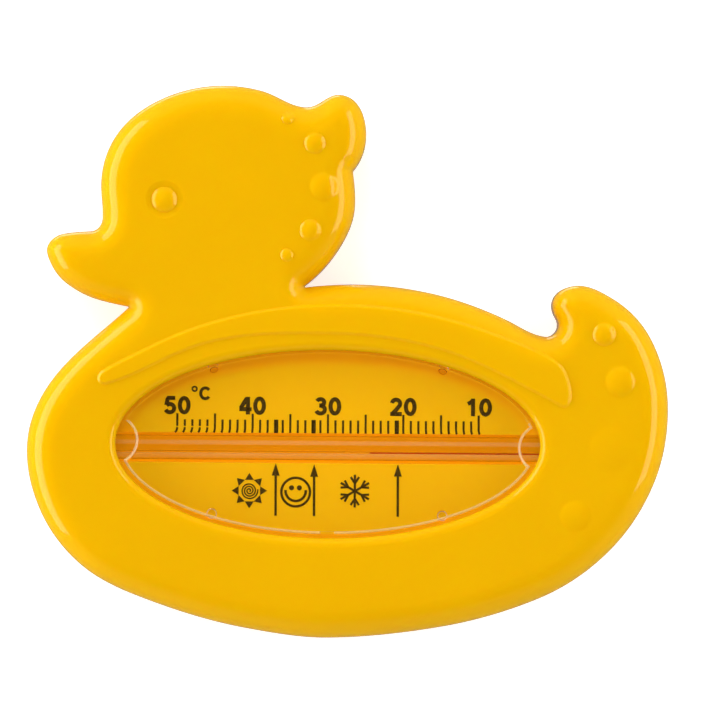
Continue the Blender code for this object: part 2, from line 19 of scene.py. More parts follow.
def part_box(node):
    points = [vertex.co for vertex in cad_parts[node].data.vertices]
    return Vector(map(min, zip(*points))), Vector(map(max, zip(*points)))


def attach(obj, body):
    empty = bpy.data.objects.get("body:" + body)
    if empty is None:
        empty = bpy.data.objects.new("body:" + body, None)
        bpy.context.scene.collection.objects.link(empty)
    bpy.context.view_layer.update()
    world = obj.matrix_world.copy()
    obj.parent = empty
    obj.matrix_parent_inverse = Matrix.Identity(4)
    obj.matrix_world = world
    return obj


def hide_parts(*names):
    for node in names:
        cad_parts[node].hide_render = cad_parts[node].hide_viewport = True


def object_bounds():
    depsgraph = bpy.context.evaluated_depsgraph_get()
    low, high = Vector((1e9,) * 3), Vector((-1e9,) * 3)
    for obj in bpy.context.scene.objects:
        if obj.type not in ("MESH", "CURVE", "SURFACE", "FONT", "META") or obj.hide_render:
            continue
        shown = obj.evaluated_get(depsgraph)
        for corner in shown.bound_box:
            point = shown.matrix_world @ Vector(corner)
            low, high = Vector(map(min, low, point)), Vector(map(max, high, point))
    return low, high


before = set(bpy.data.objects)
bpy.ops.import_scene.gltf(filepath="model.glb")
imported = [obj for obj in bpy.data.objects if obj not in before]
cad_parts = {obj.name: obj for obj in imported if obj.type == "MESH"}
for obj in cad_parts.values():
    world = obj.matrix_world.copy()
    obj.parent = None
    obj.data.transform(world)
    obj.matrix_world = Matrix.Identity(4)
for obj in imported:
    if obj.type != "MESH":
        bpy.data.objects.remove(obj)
cad_low, cad_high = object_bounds()
print("solids:", sorted(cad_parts), "from", cad_low[:], "to", cad_high[:])

# %% [markdown]
# Everything is in metres. The duck lies on its flat back: the tail is at +X, the top of the head at
# +Y, and the window looks up along +Z. The window's centre comes from the solid of the clear lens,
# whose flange is an oval round it, and its heights and those of the plate and the tube come from
# the solids too. The flat face and the seam of the shells have the heights that the solids were
# drawn with. So nothing has to be fitted by eye.

# %% Places taken from the solids
MM = 0.001
lens_low, lens_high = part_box("window_lens")
_, plate_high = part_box("scale_plate")
tube_low, tube_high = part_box("glass_tube")
shell_low, shell_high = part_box("front_shell")
window = Vector(((lens_low.x + lens_high.x) / 2.0, (lens_low.y + lens_high.y) / 2.0, 0.0))
plate_top = plate_high.z
lens_top = lens_high.z
face = 19.1 * MM
seam = 10.0 * MM
print("window centre", window[:], "plate top", plate_top, "lens top", lens_top)

# %% [markdown]
# ## Camera
# The photograph was taken from straight above with a long lens, so that near and far parts have
# almost the same scale, and the duck is turned a little clockwise in the picture. A camera far
# away with a long lens does the same. The width that it sees is measured at the height of the
# duck's rounded edge.

# %% Put up the camera
SEEN_WIDTH = 116.85 * MM
FOCAL_LENGTH = 400.0
SENSOR_WIDTH = 36.0
ROLL = math.radians(0.45)
aim = Vector((1.56, 0.79, 17.0)) * MM
away = Vector((0.0, 0.0, SEEN_WIDTH * FOCAL_LENGTH / SENSOR_WIDTH))
bpy.ops.object.camera_add(location=aim + away)
camera = bpy.context.object
camera.data.sensor_width = SENSOR_WIDTH
camera.data.lens = FOCAL_LENGTH
camera.rotation_euler = (0.0, 0.0, ROLL)
camera.data.clip_end = 10.0
bpy.context.scene.camera = camera
bpy.context.scene.view_settings.view_transform = "Standard"
print("camera height", round(camera.location.z, 3))

# %% [markdown]
# ## Helpers for modelling by hand
# Every operator acts on what is selected, so these helpers clear the selection, open a new piece
# in edit mode, and pick faces or edges by a rule about their place, as one would click on them.
# Others pull faces out, settle a piece in its place, cut or join two pieces, and shade one.

# %% Selecting and editing
def clear_selection():
    if bpy.context.object and bpy.context.object.mode != "OBJECT":
        bpy.ops.object.mode_set(mode="OBJECT")
    bpy.ops.object.select_all(action="DESELECT")


def select_only(piece):
    clear_selection()
    piece.select_set(True)
    bpy.context.view_layer.objects.active = piece


def start_editing(piece):
    """Select only this piece and go into edit mode with nothing picked."""
    select_only(piece)
    bpy.ops.object.mode_set(mode="EDIT")
    bpy.ops.mesh.select_all(action="DESELECT")


def pick(kind, rule):
    """Pick the faces, edges or points whose middle and normal fit the rule."""
    piece = bpy.context.object
    bpy.ops.mesh.select_mode(type=kind)
    bpy.ops.mesh.select_all(action="DESELECT")
    shape = bmesh.from_edit_mesh(piece.data)
    if kind == "FACE":
        found = [f for f in shape.faces if rule(f.calc_center_median(), f.normal)]
    elif kind == "EDGE":
        found = [e for e in shape.edges if rule(*[v.co for v in e.verts])]
    else:
        found = [v for v in shape.verts if rule(v.co)]
    for part in found:
        part.select = True
    shape.select_flush_mode()
    bmesh.update_edit_mesh(piece.data)
    return len(found)


def pick_all():
    bpy.ops.mesh.select_all(action="SELECT")


def stop_editing(outward=False):
    """Leave edit mode; outward first turns every face outwards."""
    if outward:
        pick_all()
        bpy.ops.mesh.normals_make_consistent(inside=False)
    bpy.ops.object.mode_set(mode="OBJECT")
    return bpy.context.object


def extrude(x, y, z):
    """Pull the picked faces out by this much."""
    bpy.ops.mesh.extrude_region_move(TRANSFORM_OT_translate={"value": (x, y, z)})


def settle(piece):
    """Write the piece's place into its mesh, so that the object sits at the origin."""
    select_only(piece)
    bpy.ops.object.transform_apply(location=True, rotation=True, scale=True)
    return piece


def settle_new(name, scale=(1.0, 1.0, 1.0)):
    """Name the shape that was just added, scale it and settle it."""
    piece = bpy.context.object
    piece.name = name
    piece.scale = scale
    return settle(piece)


def cut_or_join(piece, tool, operation):
    """Apply a boolean with the tool, and then throw the tool away."""
    select_only(piece)
    modifier = piece.modifiers.new(tool.name, "BOOLEAN")
    modifier.operation = operation
    modifier.solver = "EXACT"
    modifier.object = tool
    bpy.ops.object.modifier_apply(modifier=modifier.name)
    bpy.data.objects.remove(tool)
    return piece


def shade(piece, degrees):
    """Smooth shading that keeps edges sharper than the given bend."""
    select_only(piece)
    bpy.ops.object.shade_smooth_by_angle(angle=math.radians(degrees))
    return piece

# %% [markdown]
# ## The duck's outline
# The outline is one closed chain of curves. It could be traced with hundreds of points, but then
# it would be lumpy. A few knots, each with the heading of the edge there, give clean curves: the
# handles between two knots are as long as those of a circular arc. The sharp notches at the beak,
# the crest and the neck are two knots close together.

# %% Knots of the duck and of its wing
DUCK_KNOTS = (
    (-21.9, 45.1, 183), (-32.7, 41.9, 210), (-39.0, 35.6, 242), (-40.7, 28.9, 269),
    (-40.4, 23.3, 268), (-42.3, 21.1, 183), (-46.6, 20.7, 190), (-48.75, 19.6, 226),
    (-49.5, 17.9, 271), (-48.8, 15.7, 295), (-46.2, 12.5, 323), (-41.1, 9.9, 344),
    (-36.2, 8.8, 350), (-36.13, 8.56, 223), (-49.3, -4.5, 237), (-52.5, -13.8, 267),
    (-50.3, -24.6, 294), (-43.2, -33.8, 321), (-32.0, -39.4, 340), (-16.5, -43.7, 350),
    (-2.9, -45.2, 1), (15.4, -43.3, 10), (31.6, -38.5, 23), (43.3, -30.4, 46),
    (50.3, -19.5, 68), (52.5, -7.5, 90), (49.6, 4.2, 118), (43.0, 10.9, 150),
    (37.3, 12.8, 184), (33.4, 9.7, 265), (33.8, 7.9, 297), (34.4, 6.2, 264),
    (32.3, 4.4, 174), (25.9, 7.1, 155), (13.3, 11.4, 168), (0.2, 12.7, 181),
    (-7.0, 12.2, 187), (-7.11, 12.47, 38), (-2.9, 16.7, 53), (0.5, 23.0, 73),
    (0.58, 31.2, 97), (0.65, 31.44, 50), (2.7, 37.2, 90), (-1.7, 43.8, 176),
    (-7.0, 41.7, 181), (-14.4, 44.3, 165),
)
WING_KNOTS = (
    (-40.7, -2.8, 262), (-39.5, -3.8, 15), (-25.7, 2.2, 20), (-4.2, 4.7, 0), (9.9, 3.5, 349),
    (21.3, 0.0, 336), (35.0, -6.9, 333), (36.3, -5.5, 88), (35.6, -1.9, 110), (32.6, 1.1, 150),
    (23.3, 4.9, 160), (2.2, 9.2, 177), (-18.0, 7.4, 193), (-32.4, 2.2, 207), (-39.8, -1.7, 212),
)


def curve_between(start, end):
    """The four control points of the curve from one knot to the next, and how far it bends."""
    first = Vector(start[:2])
    last = Vector(end[:2])
    chord = last - first
    along = math.atan2(chord.y, chord.x)
    bend_in = math.remainder(math.radians(start[2]) - along, math.tau)
    bend_out = math.remainder(math.radians(end[2]) - along, math.tau)
    reach_in = chord.length / (3.0 * math.cos(bend_in / 2.0) ** 2)
    reach_out = chord.length / (3.0 * math.cos(bend_out / 2.0) ** 2)
    leaving = Vector((math.cos(along + bend_in), math.sin(along + bend_in)))
    arriving = Vector((math.cos(along + bend_out), math.sin(along + bend_out)))
    controls = (first, first + reach_in * leaving, last - reach_out * arriving, last)
    return controls, abs(bend_in) + abs(bend_out)


def follow(knots, step, bend):
    """Points along the closed chain and their inward normals, at most step or bend apart."""
    points = []
    normals = []
    for index, start in enumerate(knots):
        (a, b, c, d), turning = curve_between(start, knots[(index + 1) % len(knots)])
        count = max(1, math.ceil((d - a).length / step), math.ceil(turning / bend))
        for number in range(count):
            t = number / count
            s = 1.0 - t
            points.append(s**3 * a + 3 * s * s * t * b + 3 * s * t * t * c + t**3 * d)
            heading = (s * s * (b - a) + 2 * s * t * (c - b) + t * t * (d - c)).normalized()
            normals.append(Vector((-heading.y, heading.x)))
    return np.array(points), np.array(normals)


drawn, _ = follow(DUCK_KNOTS, 0.5, 0.1)
drawn_middle = (drawn.min(axis=0) + drawn.max(axis=0)) / 2.0
unit = (shell_high.x - shell_low.x) / (drawn[:, 0].max() - drawn[:, 0].min())
print("one drawn unit is", round(unit / MM, 4), "mm, drawn middle", drawn_middle)


def trace(knots, step, bend):
    """The chain in the duck's own place and size, in metres; bend is in degrees."""
    points, normals = follow(knots, step, math.radians(bend))
    return (points - drawn_middle) * unit, normals


def drawn_place(x, y):
    return (np.array((x, y)) - drawn_middle) * unit

# %% [markdown]
# ## How the edge rounds over
# The shell is a pillow with a flat top: its height depends only on how far a spot is from the
# outline. A bevel on the outline would break up in the narrow beak and in the sharp notches. So
# the distance is taken softly, as a sum over the whole outline in which near parts count most. On
# a straight edge it is the plain distance, and where two edges face each other, as in the beak, it
# rounds the ridge between them by itself.

# %% Soft distance from an outline
EDGE_ROUND = 5.0 * MM
SHARPNESS = 8
LINE_SUM = math.sqrt(math.pi) * math.gamma((SHARPNESS - 1) / 2.0) / math.gamma(SHARPNESS / 2.0)
CHUNK = 1500

fine_edge, _ = trace(DUCK_KNOTS, 0.1, 4.0)
from_last_to_next = np.roll(fine_edge, -1, axis=0) - np.roll(fine_edge, 1, axis=0)
fine_steps = np.linalg.norm(from_last_to_next, axis=1) / 2.0


def soft_distance(places):
    """The rounded distance of each place from the duck's outline."""
    far = np.empty(len(places))
    for start in range(0, len(places), CHUNK):
        part = places[start:start + CHUNK]
        squares = ((part[:, None, :] - fine_edge[None, :, :]) ** 2).sum(axis=2) / MM**2
        total = (squares ** (-SHARPNESS / 2.0) * fine_steps / MM).sum(axis=1) / LINE_SUM
        far[start:start + CHUNK] = total ** (-1.0 / (SHARPNESS - 1)) * MM
    return far


def nearest_distance(places, outline):
    near = np.empty(len(places))
    for start in range(0, len(places), CHUNK):
        part = places[start:start + CHUNK]
        squares = ((part[:, None, :] - outline[None, :, :]) ** 2).sum(axis=2)
        near[start:start + CHUNK] = np.sqrt(squares.min(axis=1))
    return near


def inside(places, outline):
    """Whether each place lies within a closed outline, by counting crossings to its right."""
    within = np.zeros(len(places), dtype=bool)
    ahead = np.roll(outline, -1, axis=0)
    for (x1, y1), (x2, y2) in zip(outline, ahead):
        if y1 == y2:
            continue
        crosses = (y1 > places[:, 1]) != (y2 > places[:, 1])
        within ^= crosses & (places[:, 0] < (x2 - x1) * (places[:, 1] - y1) / (y2 - y1) + x1)
    return within


def edge_drop(distance):
    """How far the round has fallen below the face at a distance from the outline."""
    reach = np.clip(distance, 0.0, EDGE_ROUND)
    return EDGE_ROUND - np.sqrt(EDGE_ROUND**2 - (EDGE_ROUND - reach) ** 2)


print("outline sampled at", len(fine_edge), "places")

# %% [markdown]
# ## What is raised on the front
# The wing is a low step, the eye a dome in a round dish, and nine dots are caps of balls. In a
# mould they are all cut into one face, so here they are added to the height of that one face. They
# could be loose pieces laid on top, but then a sharp line would run round each. The wing's step
# is soft, because its edge is blended by hand in the mould.

# %% Heights of the front face
WING_RAISE = 0.42 * MM
WING_STEP = 0.65 * MM
EYE = (-30.2, 26.3)
EYE_RADIUS = 2.1 * MM
EYE_RAISE = 0.55 * MM
DISH_RADIUS = 3.1 * MM
DISH_DEPTH = 0.27 * MM
DOTS = (
    (-10.1, 39.8, 1.05, 0.5), (-5.7, 35.7, 1.75, 0.68), (-4.2, 28.6, 2.3, 0.7),
    (-6.3, 21.5, 1.8, 0.68), (-10.1, 17.4, 1.1, 0.48), (41.8, 4.8, 1.9, 0.76),
    (44.5, -2.9, 2.55, 0.8), (43.1, -13.9, 3.75, 0.34), (37.3, -24.9, 2.55, 0.45),
)
fine_wing, _ = trace(WING_KNOTS, 0.1, 6.0)


def cap(distance, radius, rise):
    """Height of a ball's cap at a distance from its middle, nothing outside it."""
    ball = (radius**2 + rise**2) / (2.0 * rise)
    reach = np.minimum(distance, radius)
    return np.sqrt(ball**2 - reach**2) - (ball - rise)


def wing_height(places):
    near = nearest_distance(places, fine_wing)
    signed = np.where(inside(places, fine_wing), near, -near)
    share = np.clip(signed / WING_STEP + 0.5, 0.0, 1.0)
    return WING_RAISE * share**2 * (3.0 - 2.0 * share)


def front_height(places, distance):
    height = face - edge_drop(distance) + wing_height(places)
    for x, y, radius, rise in DOTS:
        away = np.linalg.norm(places - drawn_place(x, y), axis=1)
        height += cap(away, radius * unit, rise * unit)
    away = np.linalg.norm(places - drawn_place(*EYE), axis=1)
    share = np.clip((DISH_RADIUS - away) / (DISH_RADIUS - EYE_RADIUS), 0.0, 1.0)
    height -= DISH_DEPTH * share**0.8
    return height + cap(away, EYE_RADIUS, EYE_RAISE + DISH_DEPTH)


def back_height(places, distance):
    """The back has no raised forms, so only the distance counts."""
    return edge_drop(distance)


print("raised forms: the wing, the eye and", len(DOTS), "dots")

# %% [markdown]
# ## A net of points over the shell
# A grid alone would fray at the outline. So the net starts with rows that follow the outline, as
# close together as the round needs, and has rings round the window, the wing, the eye and the
# dots. Between them lie loose points. The points are joined by a Delaunay net, which keeps the
# triangles as even as they can be.

# %% Build the net
ROW_SPACING = 0.55
ROW_COUNT = 22
TIGHT_REACH = 1.5 * MM
ROW_TURNS = [math.radians(90.0 * step / ROW_COUNT) for step in range(ROW_COUNT + 1)]
ROWS = [EDGE_ROUND * (1.0 - math.cos(turn)) for turn in ROW_TURNS]
TIGHT_ROWS = [row for row in ROWS if row < TIGHT_REACH]
LOOSE_ROWS = [row for row in ROWS if row >= TIGHT_REACH]


def ring_of_points(centre, radius, count):
    turns = np.arange(count) * math.tau / count
    around = np.stack((np.cos(turns), np.sin(turns)), axis=1)
    return np.array(centre) + radius * around


def oval(half_length, half_height, grow=0.0, count=300):
    """Points of an oval round the window's centre, moved outwards by grow."""
    turns = np.arange(count) * math.tau / count
    normal = np.stack((np.cos(turns) / half_length, np.sin(turns) / half_height), axis=1)
    normal /= np.linalg.norm(normal, axis=1)[:, None]
    line = np.stack((half_length * np.cos(turns), half_height * np.sin(turns)), axis=1)
    return line + grow * normal + np.array((window.x, window.y))


def grid_points(spacing):
    across = np.arange(cad_low.x, cad_high.x, spacing)
    rows = np.arange(cad_low.y, cad_high.y, spacing * math.sqrt(0.75))
    places = []
    for index, y in enumerate(rows):
        shift = (spacing / 2.0) * (index % 2)
        places += [(x + shift, y) for x in across]
    return np.array(places)


def keep_clear(groups):
    """Join groups of points, dropping those of later groups that crowd earlier ones."""
    kept = np.empty((0, 2))
    for points, clearance in groups:
        if len(kept):
            tree = KDTree(len(kept))
            for index, (x, y) in enumerate(kept):
                tree.insert((x, y, 0.0), index)
            tree.balance()
            free = [tree.find((x, y, 0.0))[2] > clearance for x, y in points]
            points = points[free]
        kept = np.concatenate((kept, points))
    return kept


def rows_along(points, normals, offsets, outline):
    """Rows beside an outline, without the points that have crossed over to another side."""
    rows = []
    for offset in offsets:
        row = points + normals * offset
        rows.append(row[nearest_distance(row, outline) > abs(offset) - 0.02 * MM])
    return np.concatenate(rows)


def net_over(border, hole, loose):
    """Triangles between a border, an optional hole and loose points."""
    lines = [(index, (index + 1) % len(border)) for index in range(len(border))]
    points = [border]
    if hole is not None:
        first = len(border)
        count = len(hole)
        lines += [(first + index, first + (index + 1) % count) for index in range(count)]
        points.append(hole)
    points.append(loose)
    places = np.concatenate(points)
    verts, _, triangles, _, _, _ = delaunay_2d_cdt(
        [Vector(place) for place in places / MM], lines, [], 0, 1e-5
    )
    verts = np.array([tuple(vert) for vert in verts]) * MM
    triangles = np.array([tuple(triangle) for triangle in triangles])
    middles = verts[triangles].mean(axis=1)
    keep = inside(middles, border)
    if hole is not None:
        keep &= ~inside(middles, hole)
    return verts, triangles[keep]


print(len(TIGHT_ROWS), "rows follow the outline closely, then", len(LOOSE_ROWS), "looser ones")

# %% [markdown]
# ## The two shells
# On the real duck both shells are injection moulded, about 2 mm thick, and welded along a flat
# seam. Each visible shell here is closed too: the outer net and its side wall, a rim at the seam
# with a small chamfer, an inner wall and a flat ceiling. They are put together from rings of
# points, because no operator gives a face whose height follows a rule. The front one has the
# window: its lip is a quarter round, and a pocket behind it takes the flange of the clear window.

# %% Put a shell together
SEAM_CHAMFER = 0.15 * MM
WALL_INSET = 1.2 * MM
LIP_ROUND = 1.7 * MM
OPENING = (34.7 * MM, 15.35 * MM)
POCKET = (38.0 * MM, 18.65 * MM)
POCKET_TOP = face - 2.0 * MM
CEILING = face - 3.1 * MM
SEAM_GAP = 0.3 * MM
BACK_FLOOR = 3.0 * MM
ROW_CLEAR = 0.25 * MM
GRID_SPACING = 1.4 * MM
GRID_CLEAR = 0.8 * MM
EDGE_CLEAR = 0.2 * MM


class ShellMaker:
    """Collects rings and nets, and joins them into one closed mesh."""

    def __init__(self):
        self.points = []
        self.faces = []

    def add(self, places, heights):
        start = len(self.points)
        heights = np.broadcast_to(heights, len(places))
        self.points += [(x, y, z) for (x, y), z in zip(places, heights)]
        return start

    def strip(self, low, high, count):
        for index in range(count):
            beside = (index + 1) % count
            self.faces.append((low + index, low + beside, high + beside, high + index))

    def tower(self, rings):
        """Join rings of equal count one after another."""
        starts = [self.add(places, heights) for places, heights in rings]
        for low, high in zip(starts, starts[1:]):
            self.strip(low, high, len(rings[0][0]))

    def net(self, verts, triangles, heights):
        start = self.add(verts, heights)
        for triangle in triangles:
            self.faces.append(tuple(start + int(corner) for corner in triangle))

    def finish(self, name):
        mesh = bpy.data.meshes.new(name)
        mesh.from_pydata(self.points, [], self.faces)
        piece = bpy.data.objects.new(name, mesh)
        bpy.context.scene.collection.objects.link(piece)
        start_editing(piece)
        pick_all()
        bpy.ops.mesh.remove_doubles(threshold=1e-6)
        stop_editing(outward=True)
        return shade(piece, 38.0)


def shell_rows(height_at):
    """The closely spaced rows of the round, each with its heights."""
    points, normals = trace(DUCK_KNOTS, ROW_SPACING, 7.0)
    rings = []
    for row in TIGHT_ROWS:
        places = points + normals * row
        distance = soft_distance(places) if row > 0.12 * MM else np.full(len(places), row)
        rings.append((places, height_at(places, distance)))
    return points, normals, rings


def round_shell(height_at, rim, side, hole, loose, inner):
    """A whole shell: side is 1 for the front, whose face is up, and -1 for the back."""
    points, normals, rings = shell_rows(height_at)
    maker = ShellMaker()
    chamfered = points + normals * SEAM_CHAMFER
    wall = points + normals * WALL_INSET
    seam_rings = [(wall, inner), (wall, rim), (chamfered, rim), (points, rim + side * SEAM_CHAMFER)]
    maker.tower(seam_rings + rings)
    rows = rows_along(points, normals, LOOSE_ROWS, fine_edge)
    border = rings[-1][0]
    spread = keep_clear(loose + [(rows, ROW_CLEAR), (grid_points(GRID_SPACING), GRID_CLEAR)])
    spread = spread[inside(spread, border)]
    spread = spread[nearest_distance(spread, border) > EDGE_CLEAR]
    if hole is not None:
        spread = spread[~inside(spread, oval(*OPENING, LIP_ROUND + ROW_CLEAR))]
    verts, triangles = net_over(border, hole, spread)
    maker.net(verts, triangles, height_at(verts, soft_distance(verts)))
    return maker, wall


print("a shell is", round((face - seam) / MM, 1), "mm of the duck's height")

# %% [markdown]
# The front shell's net gets rings of points where the face bends most: across the wing's step, on
# the eye and its dish, and on every dot. The lip of the window is a tower of ovals.

# %% The front shell with its window
wing_points, wing_normals = trace(WING_KNOTS, 0.45, 12.0)
wing_offsets = WING_STEP * np.linspace(-0.6, 0.6, 11)
front_loose = [(rows_along(wing_points, wing_normals, wing_offsets, fine_wing), 0.0)]
EYE_RINGS = (0.25, 0.7, 1.1, 1.5, 1.8, 2.0, 2.1, 2.2, 2.4, 2.65, 2.9, 3.1, 3.3)
DOT_RINGS = (0.2, 0.42, 0.6, 0.75, 0.88, 1.0, 1.14)
LIP_STEPS = 12


def dome_points(x, y, radii, count):
    """A middle point with rings round it."""
    centre = drawn_place(x, y)
    return np.concatenate([centre[None, :]] + [ring_of_points(centre, r, count) for r in radii])


front_loose.append((dome_points(*EYE, [radius * MM for radius in EYE_RINGS], 44), 0.3 * MM))
for x, y, radius, rise in DOTS:
    radii = [radius * unit * share for share in DOT_RINGS]
    front_loose.append((dome_points(x, y, radii, 28), 0.2 * MM))
front_loose.append((oval(*OPENING, LIP_ROUND + 0.7 * MM), 0.2 * MM))

lip_edge = oval(*OPENING, LIP_ROUND)
maker, wall = round_shell(front_height, seam, 1, lip_edge, front_loose, CEILING)
lip = [(lip_edge, front_height(lip_edge, soft_distance(lip_edge)))]
for turn in [math.radians(90.0 - 90.0 * step / LIP_STEPS) for step in range(1, LIP_STEPS + 1)]:
    grow = LIP_ROUND * (1.0 - math.cos(turn))
    lip.append((oval(*OPENING, grow), face - LIP_ROUND * (1.0 - math.sin(turn))))
lip += [(oval(*OPENING), POCKET_TOP), (oval(*POCKET), POCKET_TOP), (oval(*POCKET), CEILING)]
maker.tower(lip)
verts, triangles = net_over(wall, oval(*POCKET), np.empty((0, 2)))
maker.net(verts, triangles, CEILING)
duck_front = maker.finish("duck_front")
print("duck_front has", len(duck_front.data.polygons), "faces")

# %% [markdown]
# The back shell is the same pillow turned over, without a window: its flat middle is what the
# duck lies on. A hair of room at the seam keeps it off the front shell.

# %% The back shell
maker, wall = round_shell(back_height, seam - SEAM_GAP, -1, None, [], BACK_FLOOR)
verts, triangles = net_over(wall, None, np.empty((0, 2)))
maker.net(verts, triangles, BACK_FLOOR)
duck_back = maker.finish("duck_back")
print("duck_back has", len(duck_back.data.polygons), "faces")

# %% [markdown]
# ## The clear window
# The window is one clear moulding: a flat flange behind the shell, a raised middle that fills the
# opening with a small gap and sits a little high in it, a round bite out of each end, four pegs
# that hold the scale plate, and the stub where the plastic ran in. It is hollow behind. Ovals are
# circles that are scaled, so it starts with those, is extruded, and the bites and the hollow are
# cut. The top rim is rounded first, while it is still one smooth oval, and the bites are then cut
# with a tool that widens like a bell, so that the round turns their corners without a fold.

# %% Ovals, bars and blocks
GAP = 0.65 * MM
WINDOW_WALL = 1.4 * MM
MIDDLE_RAISE = 0.175 * MM
MIDDLE = (OPENING[0] - GAP, OPENING[1] - GAP + MIDDLE_RAISE)
BITE = 3.64 * MM
BITES = ((-OPENING[0] - 0.3 * MM, 0.5 * MM), (OPENING[0] + 0.45 * MM, -0.4 * MM))
FLANGE = (37.7 * MM, 18.35 * MM)
FLANGE_LOW = plate_top + 0.3 * MM
FLANGE_HIGH = FLANGE_LOW + 1.4 * MM


def oval_prism(name, half_length, half_height, low, high, points=180):
    """A circle scaled to an oval at the window's centre, and extruded upwards."""
    clear_selection()
    bpy.ops.mesh.primitive_circle_add(
        vertices=points, radius=1.0, fill_type="NGON", location=(window.x, window.y, low)
    )
    start_editing(settle_new(name, (half_length, half_height, 1.0)))
    pick_all()
    extrude(0.0, 0.0, high - low)
    return stop_editing(outward=True)


def upright_bar(name, radius, x, y, low, high, points=32):
    clear_selection()
    bpy.ops.mesh.primitive_cylinder_add(
        vertices=points,
        radius=radius,
        depth=high - low,
        location=(window.x + x, window.y + y, (low + high) / 2.0),
    )
    return settle_new(name)


def block(name, size, middle):
    clear_selection()
    bpy.ops.mesh.primitive_cube_add(size=1.0, location=middle)
    return settle_new(name, size)


def rim_at(height):
    """A rule that picks the edges of a level rim at this height."""
    return lambda a, b: min(a.z, b.z) > height - 0.01 * MM and max(a.z, b.z) < height + 0.01 * MM


def bite_tool(x, y, radius, low, high, flare):
    """An upright bar, and with a flare its top widens like the bell of a horn up to high."""
    if not flare:
        return upright_bar("bite", radius, x, y, low - MM, high + MM, 64)
    bar = upright_bar("bite", radius, x, y, low - MM, high - flare, 64)
    wide, top = radius, high - flare
    start_editing(bar)
    for turn in [math.radians(15.0 * step) for step in range(1, 7)] + [None]:
        new_wide = wide if turn is None else radius + flare * (1.0 - math.cos(turn))
        new_top = top + MM if turn is None else high - flare * (1.0 - math.sin(turn))
        pick("FACE", lambda middle, normal: normal.z > 0.99 and middle.z > top - 0.01 * MM)
        extrude(0.0, 0.0, new_top - top)
        bpy.ops.transform.resize(
            value=(new_wide / wide, new_wide / wide, 1.0),
            center_override=(window.x + x, window.y + y, new_top),
        )
        wide, top = new_wide, new_top
    return stop_editing()


def bitten_prism(name, inset, low, high, rounding=0.0):
    """The raised middle's outline, moved inwards by inset, with both bites cut out."""
    piece = oval_prism(name, MIDDLE[0] - inset, MIDDLE[1] - inset, low, high)
    start_editing(piece)
    pick_all()
    bpy.ops.transform.translate(value=(0.0, MIDDLE_RAISE, 0.0))
    if rounding:
        pick("EDGE", rim_at(high))
        bpy.ops.mesh.bevel(offset=rounding, segments=6, affect="EDGES")
    stop_editing()
    for x, y in BITES:
        cut_or_join(piece, bite_tool(x, y, BITE + inset, low, high, rounding), "DIFFERENCE")
    return piece


print("flange from", FLANGE_LOW, "to", FLANGE_HIGH)

# %% [markdown]
# The flange and the raised middle are joined, then the hollow behind is cut. The upper edge of the
# rim is marked sharp, which keeps the top flat up to its round. Each peg is a short bar with a
# rounded foot, and the gate's stub is a small block just under the top.

# %% Model the window
RIM_ROUND = 0.6 * MM
PEG_RADIUS = 0.85 * MM
PEG_ROUND = 0.18 * MM
PEG_DEPTH = 0.2 * MM
PEGS = [(x * MM, y * MM) for x, y in ((-18.9, -11.5), (18.8, -11.6), (-18.8, 12.4), (18.8, 12.4))]
window_lens = oval_prism("window_clear", *FLANGE, FLANGE_LOW, FLANGE_HIGH)
middle = bitten_prism("middle", 0.0, FLANGE_LOW + 0.2 * MM, lens_top, RIM_ROUND)
cut_or_join(window_lens, middle, "UNION")
hollow = bitten_prism("hollow", WINDOW_WALL, FLANGE_LOW - MM, lens_top - WINDOW_WALL)
cut_or_join(window_lens, hollow, "DIFFERENCE")
start_editing(window_lens)
rim_edges = pick("EDGE", rim_at(lens_top))
bpy.ops.mesh.mark_sharp()
stop_editing()
for x, y in PEGS:
    peg_low = plate_top - PEG_DEPTH
    peg = upright_bar("peg", PEG_RADIUS, x, y, peg_low, FLANGE_LOW + 0.7 * MM)
    start_editing(peg)
    pick("EDGE", lambda a, b: a.z < peg_low + 0.01 * MM and b.z < peg_low + 0.01 * MM)
    bpy.ops.mesh.bevel(offset=PEG_ROUND, segments=2, affect="EDGES")
    stop_editing()
    cut_or_join(window_lens, peg, "UNION")
STUB = (2.3 * MM, 1.1 * MM, 1.6 * MM)
STUB_DROP = 0.03 * MM
rim_y = window.y - (OPENING[1] - GAP)
stub = block("stub", STUB, (window.x, rim_y + 0.2 * MM, lens_top - STUB_DROP - STUB[2] / 2.0))
cut_or_join(window_lens, stub, "UNION")
shade(window_lens, 30.0)
print("sharp rim edges:", rim_edges, "window faces:", len(window_lens.data.polygons))

# %% [markdown]
# ## The scale plate
# The plate is a thin yellow moulding with a round channel along it, in which the glass tube lies,
# and four shallow holes for the pegs. It is an oval prism joined with a channel body, and the
# groove is cut out with a bar and a block that opens it upwards. A pressed sheet could have the
# same shape, but a moulding has the even back that this one needs.

# %% Model the plate
PLATE = (37.2 * MM, 17.85 * MM)
TUBE_RADIUS = 2.0 * MM
GROOVE_RADIUS = 2.45 * MM
CHANNEL_WALL = 1.2 * MM
PLATE_WALL = 1.2 * MM
CHANNEL_REACH = 35.0 * MM
GROOVE_REACH = 38.0 * MM
HOLE_ROOM = 0.1 * MM
tube_y = (tube_low.y + tube_high.y) / 2.0
tube_z = (tube_low.z + tube_high.z) / 2.0


def lying_bar(name, radius, left, right, points=64, drop=0.0):
    clear_selection()
    bpy.ops.mesh.primitive_cylinder_add(
        vertices=points,
        radius=radius,
        depth=right - left,
        location=((left + right) / 2.0, tube_y - drop, tube_z),
        rotation=(0.0, math.pi / 2.0, 0.0),
    )
    return settle_new(name)


